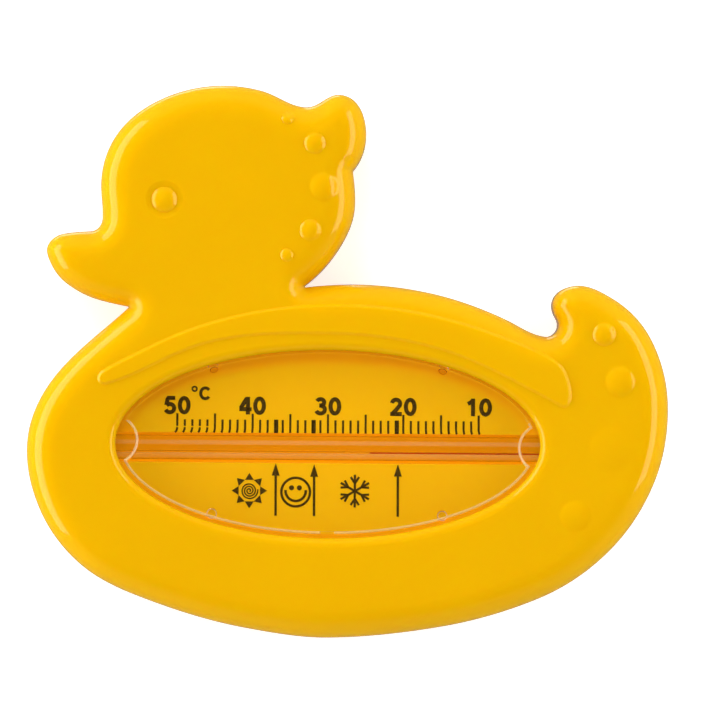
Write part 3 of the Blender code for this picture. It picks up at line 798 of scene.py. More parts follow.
def channel_tool(name, radius, half_length, top):
    """A lying bar with a block on it, open upwards."""
    bar = lying_bar(name, radius, window.x - half_length, window.x + half_length)
    lid = block(
        "lid",
        (2.0 * half_length, 2.0 * radius, top - tube_z),
        (window.x, tube_y, (top + tube_z) / 2.0),
    )
    cut_or_join(bar, lid, "UNION")
    start_editing(bar)
    pick_all()
    bpy.ops.mesh.bisect(
        plane_co=(0.0, 0.0, top), plane_no=(0.0, 0.0, 1.0), use_fill=True, clear_outer=True
    )
    return stop_editing()


scale_plate = oval_prism("plate_yellow", *PLATE, plate_top - PLATE_WALL, plate_top)
channel_radius = GROOVE_RADIUS + CHANNEL_WALL
channel = channel_tool("channel", channel_radius, CHANNEL_REACH, plate_top - 0.6 * MM)
cut_or_join(scale_plate, channel, "UNION")
groove = channel_tool("groove", GROOVE_RADIUS, GROOVE_REACH, plate_top + 0.3 * MM)
cut_or_join(scale_plate, groove, "DIFFERENCE")
for x, y in PEGS:
    hole_low = plate_top - PEG_DEPTH - HOLE_ROOM
    hole = upright_bar("hole", PEG_RADIUS + HOLE_ROOM, x, y, hole_low, plate_top + 0.3 * MM)
    cut_or_join(scale_plate, hole, "DIFFERENCE")
shade(scale_plate, 30.0)
print("plate faces:", len(scale_plate.data.polygons))

# %% [markdown]
# ## The glass tube and the spirit
# The tube is drawn glass with a bore as thin as a hair, and a bulb at the right end, which the
# shell hides. A curve with a round pen could give it, but it starts as a cylinder here: the right
# end is extruded and scaled step by step to the bulb, as a glass blower widens it, and the left
# end to a round tip. The bore is a thin bar that is cut out, a little below the middle.

# %% Model the tube
BULB_RADIUS = 2.3 * MM
BULB_LENGTH = 10.0 * MM
BORE_RADIUS = 0.15 * MM
BORE_DROP = 0.5 * MM
TIP_LENGTH = 1.4 * MM


def grow_end(piece, side, steps):
    """Extrude an end of a lying bar: each step is how far along and the new radius."""

    def at_end(middle, normal):
        return side * normal.x > 0.99 and abs(side * middle.x - end_at[side]) < 0.01 * MM

    start_editing(piece)
    radius = TUBE_RADIUS
    for ahead, wanted in steps:
        pick("FACE", at_end)
        extrude(side * ahead, 0.0, 0.0)
        end_at[side] += ahead
        share = wanted / radius
        bpy.ops.transform.resize(
            value=(1.0, share, share), center_override=(side * end_at[side], tube_y, tube_z)
        )
        radius = wanted
    return stop_editing()


bulb_start = tube_high.x - BULB_LENGTH
tip_start = tube_low.x + TIP_LENGTH
glass_tube = lying_bar("tube_glass", TUBE_RADIUS, tip_start, bulb_start)
end_at = {1: bulb_start, -1: -tip_start}
bulb_steps = [(1.5 * MM, BULB_RADIUS * 0.97), (1.0 * MM, BULB_RADIUS), (5.2 * MM, BULB_RADIUS)]
previous = 0.0
for turn in [math.radians(15.0 * step) for step in range(1, 6)]:
    bulb_steps.append((BULB_RADIUS * (math.sin(turn) - previous), BULB_RADIUS * math.cos(turn)))
    previous = math.sin(turn)
grow_end(glass_tube, 1, bulb_steps)
grow_end(glass_tube, -1, [(0.7 * MM, 1.85 * MM), (0.4 * MM, 1.5 * MM), (0.25 * MM, 0.9 * MM)])
start_editing(glass_tube)
stop_editing(outward=True)
bore_left, bore_right = tube_low.x + 2.0 * MM, tube_high.x - 3.0 * MM
bore = lying_bar("bore", BORE_RADIUS, bore_left, bore_right, 16, BORE_DROP)
cut_or_join(glass_tube, bore, "DIFFERENCE")
shade(glass_tube, 40.0)
print("tube from", tube_low.x, "to", tube_high.x, "faces:", len(glass_tube.data.polygons))

# %% [markdown]
# The red spirit fills the bulb and the bore up to the reading. In the window it is only a hair
# line, and the shell hides the rest, so a thin bar that ends in the bulb is enough.

# %% Model the spirit
SPIRIT_RADIUS = 0.12 * MM
SPIRIT_END = tube_high.x - 3.5 * MM
DEGREE = 49.3 * MM / 40.0
READING = 24.4


def scale_x(degrees):
    """Where a temperature stands on the scale: 50 at the left, 10 at the right."""
    return window.x + (30.0 - degrees) * DEGREE


spirit = lying_bar("spirit_red", SPIRIT_RADIUS, scale_x(READING), SPIRIT_END, 16, BORE_DROP)
shade(spirit, 40.0)
print("spirit ends at", scale_x(READING))

# %% [markdown]
# ## The print on the plate
# The scale is pad printed in dark brown ink, a film far thinner than a hair. Ready-made letters
# have the wrong shape for it, so every mark is drawn as a stroke: a line with a round pen, made
# into a mesh and pressed flat. The strokes of one sign are then joined into one piece.

# %% Pen strokes
INK_HEIGHT = 0.04 * MM
INK_LEVEL = plate_top + 0.01 * MM


def pen_stroke(path, width, closed=False):
    """A flat stroke along x, y places in millimetres from the window's centre."""
    line = bpy.data.curves.new("stroke", "CURVE")
    line.dimensions = "3D"
    spline = line.splines.new("POLY")
    spline.points.add(len(path) - 1)
    for point, (x, y) in zip(spline.points, path):
        point.co = (x * MM, y * MM, 0.0, 1.0)
    spline.use_cyclic_u = closed
    line.bevel_depth = width * MM / 2.0
    line.bevel_resolution = 1
    line.use_fill_caps = True
    stroke = bpy.data.objects.new("stroke", line)
    bpy.context.scene.collection.objects.link(stroke)
    select_only(stroke)
    bpy.ops.object.convert(target="MESH")
    stroke = bpy.context.object
    stroke.scale = (1.0, 1.0, INK_HEIGHT / (width * MM))
    stroke.location = (window.x, window.y, INK_LEVEL + INK_HEIGHT / 2.0)
    return settle(stroke)


def ink_triangle(x, y, width, length, turn):
    """A flat triangle whose tip lies at x, y and points along turn, in degrees."""
    clear_selection()
    bpy.ops.mesh.primitive_circle_add(vertices=3, radius=1.0, fill_type="NGON")
    piece = bpy.context.object
    start_editing(piece)
    pick_all()
    bpy.ops.transform.translate(value=(0.0, -1.0, 0.0))
    bpy.ops.transform.resize(
        value=(width * MM / math.sqrt(3.0), length * MM / 1.5, 1.0), center_override=(0.0, 0.0, 0.0)
    )
    extrude(0.0, 0.0, INK_HEIGHT)
    stop_editing(outward=True)
    piece.rotation_euler = (0.0, 0.0, math.radians(turn - 90.0))
    piece.location = (window.x + x * MM, window.y + y * MM, INK_LEVEL)
    return settle(piece)


def join(name, parts):
    clear_selection()
    for part in parts:
        part.select_set(True)
    bpy.context.view_layer.objects.active = parts[0]
    bpy.ops.object.join()
    parts[0].name = name
    return parts[0]


def arc(x, y, across, up, start, end, steps=14):
    """Places on part of an oval, between two angles in degrees."""
    turns = [math.radians(start + (end - start) * step / steps) for step in range(steps + 1)]
    return [(x + across * math.cos(turn), y + up * math.sin(turn)) for turn in turns]


print("ink is", round(INK_HEIGHT / MM, 3), "mm thick")

# %% [markdown]
# There is a mark for each degree and a longer one for every fifth. Their feet lean outwards a
# little towards the ends, as a soft pad prints them over the edge of the channel, and the last
# ones at the left are broken there. Three wide marks stand for the temperatures of the arrows.

# %% Marks of the scale
TICK_FOOT = 1.74
SHORT_TOP = 3.88
LONG_TOP = 4.86
FINE_PEN = 0.35
WIDE_PEN = 0.7
LEAN_LEFT = -0.36
LEAN_RIGHT = 0.2
LEAN_REACH = 24.6
WIDE_MARKS = (-8.48, -2.35, 11.26)
marks = []
for degrees in range(10, 51):
    x = (scale_x(degrees) - window.x) / MM
    lean = (LEAN_RIGHT if x > 0.0 else LEAN_LEFT) * (x / LEAN_REACH) ** 2
    top = LONG_TOP if degrees % 5 == 0 else SHORT_TOP
    foot = [
        (x + 0.12 * lean, TICK_FOOT + 0.55),
        (x + 0.5 * lean, TICK_FOOT + 0.2),
        (x + lean, TICK_FOOT),
    ]
    if degrees > 45:
        marks.append(pen_stroke([(x, top), (x, TICK_FOOT + 1.05)], FINE_PEN))
        marks.append(pen_stroke([(x, TICK_FOOT + 0.85)] + foot, FINE_PEN))
    else:
        marks.append(pen_stroke([(x, top), (x, TICK_FOOT + 0.75)] + foot, FINE_PEN))
for x in WIDE_MARKS:
    marks.append(pen_stroke([(x, SHORT_TOP + 0.05), (x, TICK_FOOT - 0.03)], WIDE_PEN))
scale_marks = join("scale_marks", marks)
print("scale marks:", len(marks))

# %% [markdown]
# Each numeral is drawn in a box one high, as a sign writer would: a few straight strokes and parts
# of ovals. A numeral's strokes are drawn again at each place where it stands.

# %% Numerals
NUMERAL_HEIGHT = 2.88
NUMERAL_WIDTH = 3.02
BOLD = 0.232
NUMERAL_FOOT = 4.74
NUMERAL_SHIFTS = (-2.24, 0.08)
NUMERALS = {
    "0": [(arc(0.34, 0.5, 0.235, 0.405, 0.0, 360.0, 28)[:-1], True)],
    "1": [([(0.43, 0.0), (0.43, 1.0)], False), ([(0.4, 0.88), (0.3, 0.78), (0.15, 0.7)], False)],
    "2": [
        (arc(0.34, 0.68, 0.22, 0.225, 172.0, -30.0) + [(0.36, 0.34), (0.16, 0.13)], False),
        ([(0.03, 0.09), (0.65, 0.09)], False),
    ],
    "3": [
        (arc(0.33, 0.725, 0.2, 0.18, 160.0, -90.0), False),
        (arc(0.33, 0.31, 0.24, 0.22, 90.0, -160.0), False),
        ([(0.26, 0.54), (0.36, 0.54)], False),
    ],
    "4": [
        ([(0.48, 0.0), (0.48, 1.0)], False),
        ([(0.42, 0.93), (0.09, 0.36)], False),
        ([(0.02, 0.3), (0.68, 0.3)], False),
    ],
    "5": [
        ([(0.17, 0.905), (0.62, 0.905)], False),
        ([(0.22, 0.92), (0.14, 0.5)], False),
        (arc(0.33, 0.325, 0.24, 0.235, 138.0, -158.0), False),
    ],
}


def write_numeral(sign, left, foot):
    strokes = []
    for path, closed in NUMERALS[sign]:
        places = [(left + x * NUMERAL_WIDTH, foot + y * NUMERAL_HEIGHT) for x, y in path]
        strokes.append(pen_stroke(places, BOLD * NUMERAL_HEIGHT, closed))
    return strokes


written = []
for degrees in range(10, 51, 10):
    middle_x = (scale_x(degrees) - window.x) / MM
    for sign, shift in zip(str(degrees), NUMERAL_SHIFTS):
        written += write_numeral(sign, middle_x + shift, NUMERAL_FOOT)
numerals = join("scale_numerals", written)
ring = [(-21.86 + x, 8.86 + y) for x, y in arc(0.0, 0.0, 0.37, 0.37, 0.0, 360.0, 20)[:-1]]
letter = arc(-20.1, 8.15, 0.76, 0.88, 38.0, 322.0, 24)
degree_sign = join("degree_sign", [pen_stroke(ring, 0.29, True), pen_stroke(letter, 0.5)])
print("numerals:", len(written), "strokes")

# %% [markdown]
# Under the tube stand plain signs: a sun for too hot, a smiling face for a good bath, a snowflake
# for too cold, and arrows that point to the wide marks. All are pen strokes and flat triangles.

# %% Arrows and the sun
arrows = []
for x, tip in ((-8.49, -3.18), (-2.2, -3.32), (11.5, -3.18)):
    arrows.append(pen_stroke([(x, -5.0), (x + 0.03, -11.8)], 0.4))
    arrows.append(ink_triangle(x, tip, 1.3, 2.05, 90.0))
sign_arrows = join("sign_arrows", arrows)

SUN = (-12.78, -7.72)
COIL_TURNS = 3.25
COIL_STEPS = 95
coil = []
for step in range(COIL_STEPS + 1):
    turn = math.tau * COIL_TURNS * step / COIL_STEPS - 1.4
    reach = 0.1 + 1.3 * step / COIL_STEPS
    coil.append((SUN[0] + reach * math.cos(turn), SUN[1] + reach * math.sin(turn)))
rays = [pen_stroke(coil, 0.22)]
RAY_REACH = 2.9
for degrees in range(0, 360, 45):
    turn = math.radians(degrees)
    tip = (SUN[0] + RAY_REACH * math.cos(turn), SUN[1] + RAY_REACH * math.sin(turn))
    rays.append(ink_triangle(*tip, 1.45, 1.14, degrees))
sign_sun = join("sign_sun", rays)
print("arrows:", len(arrows) // 2, "and a sun with", len(rays) - 1, "rays")

# %% The smiling face and the snowflake
SMILE = (-5.2, -7.9)
smile = [
    pen_stroke(arc(*SMILE, 2.34, 2.34, 0.0, 360.0, 48)[:-1], 0.4, True),
    pen_stroke(arc(SMILE[0], SMILE[1] + 0.22, 1.66, 1.68, 176.0, 364.0, 24), 0.42),
]
for x in (-0.67, 0.6):
    dot = arc(SMILE[0] + x, SMILE[1] + 0.7, 0.2, 0.2, 0.0, 360.0, 16)[:-1]
    smile.append(pen_stroke(dot, 0.44, True))
sign_smile = join("sign_smile", smile)

SNOW = (4.48, -7.66)


def flake_place(turn, reach, shift=0.0):
    """A place on the flake's arm that points along turn, with shift to its left."""
    return (
        SNOW[0] + math.cos(turn) * reach - math.sin(turn) * shift,
        SNOW[1] + math.sin(turn) * reach + math.cos(turn) * shift,
    )


flake = []
for turn in [math.radians(30.0 + 60.0 * number) for number in range(6)]:
    flake.append(pen_stroke([flake_place(turn, 0.0), flake_place(turn, 2.68)], 0.38))
    for side in (-1.0, 1.0):
        barb = [flake_place(turn, 1.25), flake_place(turn, 2.3, side * 0.68)]
        flake.append(pen_stroke(barb, 0.36))
sign_snow = join("sign_snow", flake)
print("a face with", len(smile), "strokes and a snowflake with", len(flake))

# %% [markdown]
# ## Finishes
# Every finish is built from nodes on the piece's own coordinates. These helpers make the nodes
# that all finishes share: noise, a colour that wanders a little between two shades, and a ripple
# in the surface. A picture could do the same, but it would show its grain close up.

# %% Building a finish from nodes
def new_finish(name, colour, roughness, **more):
    material = bpy.data.materials.new(name)
    material.use_nodes = True
    shader = material.node_tree.nodes["Principled BSDF"]
    shader.inputs["Base Color"].default_value = (*colour, 1.0)
    shader.inputs["Roughness"].default_value = roughness
    for socket, value in more.items():
        shader.inputs[socket.replace("_", " ")].default_value = value
    return material, shader


def node(material, kind, links=(), **settings):
    """A new node; a setting is the name of one of its sockets or of a choice on it."""
    made = material.node_tree.nodes.new(kind)
    for setting, value in settings.items():
        if setting in made.inputs:
            made.inputs[setting].default_value = value
        else:
            setattr(made, setting, value)
    for source, socket in links:
        material.node_tree.links.new(source, made.inputs[socket])
    return made


def mixed(material, share, first, second):
    """Mix two shaders; share is a number or a socket, and 1 is all of the second."""
    mix = node(material, "ShaderNodeMixShader", [(first.outputs[0], 1), (second.outputs[0], 2)])
    if isinstance(share, float):
        mix.inputs["Fac"].default_value = share
    else:
        material.node_tree.links.new(share, mix.inputs["Fac"])
    return mix


def show(material, shader, output="Material Output"):
    surface = material.node_tree.nodes[output].inputs["Surface"]
    material.node_tree.links.new(shader.outputs[0], surface)


def noise(material, scale, detail=2.0):
    """Noise on the piece's own coordinates, with scale in grains per metre."""
    place = [(node(material, "ShaderNodeTexCoord").outputs["Object"], "Vector")]
    return node(material, "ShaderNodeTexNoise", place, Scale=scale, Detail=detail)


def mapped(material, value, before, after, **more):
    """Map a number from the range before to the range after."""
    ends = dict(zip(("From Min", "From Max", "To Min", "To Max"), before + after))
    made = node(material, "ShaderNodeMapRange", [(value, "Value")], **ends, **more)
    return made.outputs["Result"]


def coordinates(material, kind="Object"):
    """The x, y and z of the place that is being shaded."""
    place = node(material, "ShaderNodeTexCoord")
    split = node(material, "ShaderNodeSeparateXYZ", [(place.outputs[kind], "Vector")])
    return split.outputs["X"], split.outputs["Y"], split.outputs["Z"]


def wander(material, shader, source, first, second):
    """Let the colour wander between two shades."""
    ramp = node(material, "ShaderNodeValToRGB", [(source.outputs["Fac"], "Fac")])
    ramp.color_ramp.elements[0].position = 0.35
    ramp.color_ramp.elements[1].position = 0.65
    ramp.color_ramp.elements[0].color = (*first, 1.0)
    ramp.color_ramp.elements[1].color = (*second, 1.0)
    material.node_tree.links.new(ramp.outputs["Color"], shader.inputs["Base Color"])


def ripple(material, shader, source, strength, depth):
    height = [(source.outputs["Fac"], "Height")]
    bump = node(material, "ShaderNodeBump", height, Strength=strength, Distance=depth)
    material.node_tree.links.new(bump.outputs["Normal"], shader.inputs["Normal"])


def dress(piece, material, slot_name, *nodes):
    piece.data.materials.clear()
    piece.data.materials.append(material)
    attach(piece, "root")
    if nodes:
        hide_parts(*nodes)


print("ready to mix finishes")

# %% [markdown]
# The yellow plastic is dyed right through and polished: its colour wanders by a hair, the gloss
# has faint haze, and the surface has the slight ripple that moulded plastic keeps. Light goes a
# little way into it, which softens the shadows on it. The plate is less glossy than the shells.

# %% Yellow moulded plastic
def moulded_yellow(name, first, second, haze):
    material, shader = new_finish(name, first, haze[0], IOR=1.5)
    shader.inputs["Subsurface Weight"].default_value = 0.35
    shader.inputs["Subsurface Radius"].default_value = (1.0, 0.5, 0.05)
    shader.inputs["Subsurface Scale"].default_value = 2.2 * MM
    shader.inputs["Specular Tint"].default_value = (1.0, 0.85, 0.55, 1.0)
    wander(material, shader, noise(material, 60.0), first, second)
    gloss = mapped(material, noise(material, 350.0, 3.0).outputs["Fac"], (0.3, 0.7), haze)
    material.node_tree.links.new(gloss, shader.inputs["Roughness"])
    ripple(material, shader, noise(material, 500.0, 1.0), 0.12, 0.02 * MM)
    return material


SHELL_SHADES = ((0.887, 0.477, 0.001), (0.872, 0.465, 0.001))
PLATE_SHADES = ((1.0, 0.518, 0.001), (0.98, 0.503, 0.001))
gloss_yellow = moulded_yellow("gloss_yellow", *SHELL_SHADES, (0.05, 0.08))
satin_yellow = moulded_yellow("satin_yellow", *PLATE_SHADES, (0.3, 0.4))
dress(duck_front, gloss_yellow, "front_shell", "front_shell")
dress(duck_back, gloss_yellow, "back_shell", "back_shell")
dress(scale_plate, satin_yellow, "scale_plate", "scale_plate")
print("yellow on", duck_front.name, duck_back.name, scale_plate.name)

# %% [markdown]
# Some finishes change from place to place. A rule about the place is built from nodes that
# calculate, so two more helpers make those: one for a sum, and one for a soft step.

# %% Nodes that calculate
def number_node(material, operation, first, second):
    """A Math node; first and second are sockets or numbers."""
    made = node(material, "ShaderNodeMath", operation=operation)
    for socket, value in enumerate((first, second)):
        if isinstance(value, (int, float)):
            made.inputs[socket].default_value = value
        else:
            material.node_tree.links.new(value, made.inputs[socket])
    return made.outputs[0]


def slope_node(material, value, low, high):
    """0 at low and 1 at high, with a soft step between them; low may be the larger one."""
    return mapped(material, value, (low, high), (0.0, 1.0), interpolation_type="SMOOTHSTEP")


print("ready to mix by place")

# %% [markdown]
# The plate's plastic is a little translucent, so light wanders in it, and it looks more orange
# where little light comes in: under the rim of the window and its bites, under the upper lip, and
# deep in the channel. Rays that wander through so thin a plate would take long to render, so the
# orange zones are painted shade, drawn by place, and a painted glow stands for the light that
# wanders: a little over the whole plate, and more in the shaded zones.

# %% Measures on the plate
def plate_number(operation, first, second):
    return number_node(satin_yellow, operation, first, second)


def plate_reach(x, y):
    """How far a place with these two measures lies from the middle."""
    squares = [plate_number("MULTIPLY", value, value) for value in (x, y)]
    return plate_number("SQRT", plate_number("ADD", *squares), 0.0)


LIP_SHIFT = 0.11
plate_x, plate_y, plate_z = coordinates(satin_yellow)
from_x = plate_number("SUBTRACT", plate_x, window.x)
from_y = plate_number("SUBTRACT", plate_y, window.y)
end_x = plate_number("SUBTRACT", plate_number("ABSOLUTE", from_x, 0.0), OPENING[0])
oval_x = plate_number("DIVIDE", from_x, MIDDLE[0])
oval_y = plate_number("DIVIDE", from_y, OPENING[1] - GAP)
lip_y = plate_number("ADD", oval_y, LIP_SHIFT)
print("measured from the window's centre and from the ends of its opening")

# %% Painted shade and glow on the plate
# The orange of the painted shade, and how strongly the plate glows as painted light.
SHADE_ORANGE = (1.0, 0.38, 0.001)
PAINTED_BASE_GLOW = 0.13
PAINTED_EDGE_GLOW = 0.12
PAINTED_DEEP_GLOW = 0.2


def plate_zone(value, low, high):
    return slope_node(satin_yellow, value, low, high)


# Painted shade: these masks mark where shade falls on the plate, under the rim, the bites, the
# upper lip and deep in the channel.
rim_shade = plate_zone(plate_reach(oval_x, oval_y), 0.975, 1.005)
bite_shade = plate_zone(plate_reach(end_x, from_y), BITE + 0.3 * MM, BITE - 0.1 * MM)
lip_shade = plate_zone(plate_reach(oval_x, lip_y), 0.95, 1.07)
deep_shade = plate_zone(plate_z, plate_top - 0.4 * MM, plate_top - 0.8 * MM)
edge_shade = plate_number("MAXIMUM", plate_number("MAXIMUM", rim_shade, bite_shade), lip_shade)
shadow = plate_number("MAXIMUM", edge_shade, deep_shade)

plate_shader = satin_yellow.node_tree.nodes["Principled BSDF"]
plate_links = satin_yellow.node_tree.links
plain = plate_shader.inputs["Base Color"].links[0].from_socket
# The painted shade turns the plate's colour, and the colour of its glow, towards orange.
painted_shade_tone = node(satin_yellow, "ShaderNodeMix", data_type="RGBA")
plate_links.new(shadow, painted_shade_tone.inputs[0])
plate_links.new(plain, painted_shade_tone.inputs[6])
painted_shade_tone.inputs[7].default_value = (*SHADE_ORANGE, 1.0)
plate_links.new(painted_shade_tone.outputs[2], plate_shader.inputs["Base Color"])
plate_links.new(painted_shade_tone.outputs[2], plate_shader.inputs["Emission Color"])

# Painted light: the plate glows a little everywhere and more in the shaded zones, to brighten the
# shade.
painted_edge_glow = plate_number("MULTIPLY", edge_shade, PAINTED_EDGE_GLOW)
painted_deep_glow = plate_number("MULTIPLY", deep_shade, PAINTED_DEEP_GLOW)
painted_glow_level = plate_number("ADD", plate_number("MAXIMUM", painted_edge_glow, painted_deep_glow), PAINTED_BASE_GLOW)
plate_links.new(painted_glow_level, plate_shader.inputs["Emission Strength"])
print("the plate glows by", PAINTED_BASE_GLOW, "to", PAINTED_BASE_GLOW + PAINTED_DEEP_GLOW)

# %% [markdown]
# Clear plastic and glass bend the light that the eye sees through them, but the renderer would let
# them cast black shadows. So light on its way to the plate passes straight through: the shadow ray
# meets a plain see-through shader instead.

# %% Clear plastic and glass
WHITE = (1.0, 1.0, 1.0)


def clear_finish(name, tint, ior, roughness, scale, depth, share=0.0, frost_colour=WHITE):
    """A clear finish; share is how much of the surface scatters light like frosted plastic."""
    material, shader = new_finish(name, tint, roughness, IOR=ior)
    shader.inputs["Transmission Weight"].default_value = 1.0
    ripple(material, shader, noise(material, scale, 1.0), 0.1, depth)
    through = node(material, "ShaderNodeBsdfTransparent", Color=(*tint, 1.0))
    ray = node(material, "ShaderNodeLightPath")
    frost = node(material, "ShaderNodeBsdfDiffuse", Color=(*frost_colour, 1.0))
    body = mixed(material, share, shader, frost)
    show(material, mixed(material, ray.outputs["Is Shadow Ray"], body, through))
    return material, body


clear_plastic, _ = clear_finish("clear_plastic", (0.995, 0.99, 0.985), 1.49, 0.02, 180.0, 0.01 * MM)
# The glass's frost colour is the colour of the painted reflections along the tube.
clear_glass, streaks = clear_finish(
    "clear_glass", (0.97, 0.97, 0.96), 1.5, 0.0, 250.0, 0.004 * MM, 0.0, (1.0, 0.8, 0.45)
)
dress(window_lens, clear_plastic, "window_lens", "window_lens")
dress(glass_tube, clear_glass, "glass_tube", "glass_tube")
print("clear finishes on", window_lens.name, glass_tube.name)

# %% [markdown]
# The edges of the clear moulding are a little frosted, and on the lower rim, the bites and the feet
# of the lower pegs they catch the light as pale lines. Only those faces take a second, half frosted
# finish, picked by their place and tilt, so the frost there is partly a painted highlight; the
# upper rim and the upper pegs stay clear.

# %% Frosted edges and painted highlights of the window
# Share of frost on the lower edges; it is partly a painted highlight.
FROST_AND_HIGHLIGHT_SHARE = 0.42
frosted_edge_highlight, _ = clear_finish(
    "frosted_edge_highlight",
    (0.99, 0.97, 0.95),
    1.49,
    0.05,
    180.0,
    0.01 * MM,
    FROST_AND_HIGHLIGHT_SHARE,
    (1.0, 0.8, 0.5),
)
window_lens.data.materials.append(frosted_edge_highlight)
frosted_highlight_faces = 0
# Painted highlight: the frosted finish goes only on the lower faces, the bites and the lower pegs'
# feet, where the pale lines of light show.
for lens_face in window_lens.data.polygons:
    spot = lens_face.center - window
    tilt = abs(lens_face.normal.z)
    in_bite = abs(spot.x) > OPENING[0] - BITE - 0.8 * MM and abs(spot.y) < BITE
    on_peg = lens_face.center.z < FLANGE_LOW - 0.01 * MM and spot.y < 0.0
    if (0.08 < tilt < 0.975 and (in_bite or spot.y < 0.0)) or (on_peg and tilt < 0.95):
        lens_face.material_index = 1
        frosted_highlight_faces += 1
print("milky faces on the window:", frosted_highlight_faces)

# %% [markdown]
# A glass tube lies like a lens over its channel, and two pale streaks run along it, where it
# mirrors soft light. Two more lamps could draw them, but they would show in the yellow as well, so
# the streaks are painted reflections: a little frost is mixed in along two bands of the tube's
# upper side.

# %% Painted reflections along the glass tube
PAINTED_STREAKS = ((0.85 * MM, 0.45 * MM, 0.1), (-1.3 * MM, 0.6 * MM, 0.13))
_, glass_y, glass_z = coordinates(clear_glass)
bands = []
for middle_y, half_width, share in PAINTED_STREAKS:
    away = number_node(clear_glass, "SUBTRACT", glass_y, tube_y + middle_y)
    off = number_node(clear_glass, "ABSOLUTE", away, 0.0)
    band = slope_node(clear_glass, off, half_width, 0.4 * half_width)
    bands.append(number_node(clear_glass, "MULTIPLY", band, share))
both_bands = number_node(clear_glass, "ADD", *bands)
upper_side = number_node(clear_glass, "GREATER_THAN", glass_z, tube_z)
painted_streak_share = number_node(clear_glass, "MULTIPLY", both_bands, upper_side)
clear_glass.node_tree.links.new(painted_streak_share, streaks.inputs["Fac"])
print("streaks along the tube:", len(bands))

# %% [markdown]
# The spirit is dyed red, and the ink is a dark brown that lets a little of the yellow through. It
# is matt, thinner in some spots than in others, and rough as a printed film is.

# %% Spirit and ink
red_spirit, red_shader = new_finish("red_spirit", (0.78, 0.06, 0.01), 0.2)
wander(red_spirit, red_shader, noise(red_spirit, 900.0), (0.8, 0.065, 0.01), (0.7, 0.05, 0.008))
dress(spirit, red_spirit, "fluid_column", "fluid_column")

brown_ink, ink_shader = new_finish("brown_ink", (0.05, 0.03, 0.004), 0.55)
ink_shader.inputs["Specular Tint"].default_value = (1.0, 0.8, 0.3, 1.0)
ink_noise = noise(brown_ink, 2500.0, 3.0)
wander(brown_ink, ink_shader, ink_noise, (0.05, 0.026, 0.003), (0.1, 0.055, 0.006))
ripple(brown_ink, ink_shader, noise(brown_ink, 4000.0, 2.0), 0.3, 0.01 * MM)
for piece in (scale_marks, numerals, degree_sign, sign_arrows, sign_sun, sign_smile, sign_snow):
    dress(piece, brown_ink, "scale_plate")
print("ink on the print")

# %% [markdown]
# ## Studio
# The duck lies on a plain pale table, which glows a little for the eye alone, so that it looks
# nearly white and still keeps the duck's soft shadow. Gloss doesn't show it: the shells mirror
# the dim room of the next step instead.

# %% Table
TABLE_SIZE = 6.0
TABLE_DROP = 0.00002
TABLE_GLOW = 0.6
clear_selection()
bpy.ops.mesh.primitive_plane_add(size=TABLE_SIZE, location=(0.0, 0.0, -TABLE_DROP))
table = bpy.context.object
table.name = "table"
white_table, table_shader = new_finish("white_table", (0.9, 0.9, 0.9), 0.6)
wander(white_table, table_shader, noise(white_table, 20.0), (0.9, 0.9, 0.9), (0.88, 0.88, 0.88))
ray = node(white_table, "ShaderNodeLightPath")
glow = node(white_table, "ShaderNodeEmission", Color=(1.0, 1.0, 1.0, 1.0), Strength=TABLE_GLOW)
dark = node(white_table, "ShaderNodeEmission", Color=(0.0, 0.0, 0.0, 1.0), Strength=0.0)
seen = mixed(white_table, ray.outputs["Is Camera Ray"], dark, glow)
table_look = [(table_shader.outputs["BSDF"], 0), (seen.outputs["Shader"], 1)]
show(white_table, node(white_table, "ShaderNodeAddShader", table_look))
table.data.materials.append(white_table)
table.visible_glossy = False
print("table laid")

# %% [markdown]
# The room round the table is white to the eye. As a light it shines from the sides and fades
# overhead, where the lamps take over. Mirrored in the gloss it is dim, so that the yellow stays
# deep. One bright place behind and below the head draws a thin line along the upper edges.

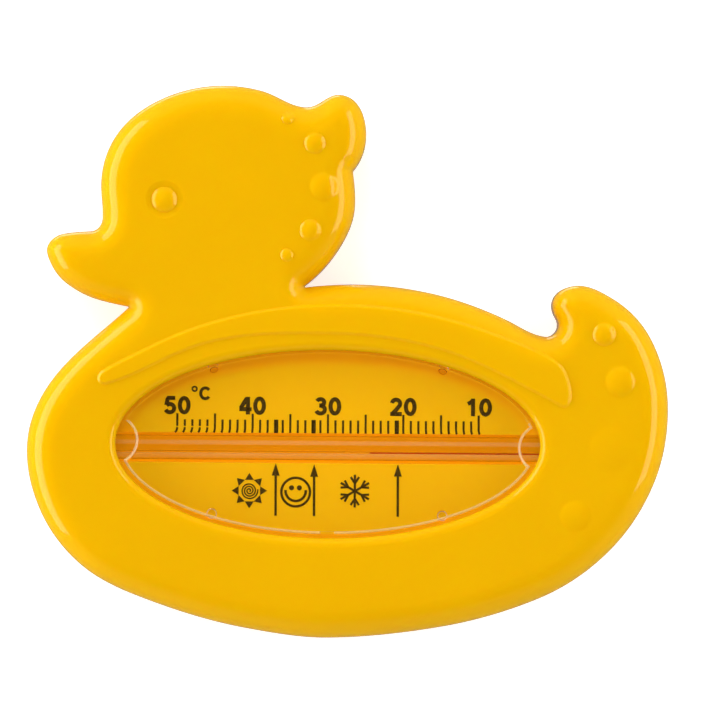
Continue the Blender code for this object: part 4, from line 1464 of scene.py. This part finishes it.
# %% World
WALLS = 1.84
MIRRORED = 0.25
GLINT = 2.0
bpy.context.scene.world = bpy.data.worlds.new("studio")
world = bpy.context.scene.world
world.use_nodes = True
ray_x, ray_y, ray_z = coordinates(world, "Generated")
fade = mapped(world, ray_z, (0.3, 0.7), (1.0, 0.0))
wall_level = number_node(world, "MULTIPLY", fade, WALLS)
dim_level = number_node(world, "MULTIPLY", fade, MIRRORED)
behind = slope_node(world, ray_y, 0.46, 0.54)
below = slope_node(world, ray_z, -0.64, -0.72)
beside = slope_node(world, ray_x, 0.05, -0.03)
place_share = number_node(world, "MULTIPLY", behind, below)
place_share = number_node(world, "MULTIPLY", place_share, beside)
glint = number_node(world, "MULTIPLY", place_share, GLINT)
mirror_level = number_node(world, "ADD", dim_level, glint)
walls = node(world, "ShaderNodeBackground", [(wall_level, "Strength")])
mirror = node(world, "ShaderNodeBackground", [(mirror_level, "Strength")])
white = world.node_tree.nodes["Background"]
white.inputs["Color"].default_value = (1.0, 1.0, 1.0, 1.0)
white.inputs["Strength"].default_value = 1.0
print("walls shine at", WALLS, "and are mirrored at", MIRRORED)

# %% [markdown]
# Rays that come from the gloss see the dim room, rays from the camera see plain white, and all
# others see the bright walls. Two mixes sort them.

# %% Sort the rays
rays = node(world, "ShaderNodeLightPath")
mirrored = mixed(world, rays.outputs["Is Glossy Ray"], walls, mirror)
show(world, mixed(world, rays.outputs["Is Camera Ray"], mirrored, white), "World Output")
print("world lit")

# %% [markdown]
# A big soft lamp above the head's side gives most of the light, and its shadow falls under the
# window's upper lip. A still bigger one overhead fills in. Neither shows in the gloss. Two soft
# boxes at the sides draw the bright bands along the rounded edge: a broad one low at the left,
# and a narrower one a little higher at the right.

# %% Lamps
def soft_box(name, direction, distance, size, radiance, in_gloss=True):
    """A flat lamp facing the duck; radiance 1 is as bright as a white wall."""
    clear_selection()
    towards = Vector(direction).normalized()
    bpy.ops.object.light_add(type="AREA", location=towards * distance + Vector((0.0, 0.0, 0.015)))
    lamp = bpy.context.object
    lamp.name = name
    lamp.rotation_euler = towards.to_track_quat("Z", "Y").to_euler()
    lamp.data.shape = "RECTANGLE"
    lamp.data.size, lamp.data.size_y = size
    lamp.data.energy = radiance * math.pi * size[0] * size[1]
    lamp.visible_glossy = in_gloss
    lamp.visible_transmission = in_gloss
    return lamp


soft_box("key_lamp", (-0.2, 0.52, 0.85), 1.2, (0.5, 0.5), 6.3, in_gloss=False)
soft_box("top_fill", (0.0, -0.1, 1.0), 2.0, (1.3, 1.3), 1.16, in_gloss=False)
soft_box("left_box", (-0.964, 0.135, 0.235), 0.6, (1.15, 0.33), 2.9)
soft_box("right_box", (0.83, 0.15, 0.36), 0.6, (0.75, 0.25), 2.7)

# %% [markdown]
# ## The size of the solids
# The box of the solids is printed at the end.

# %% Sizes
print("box of the solids", cad_low[:], cad_high[:])
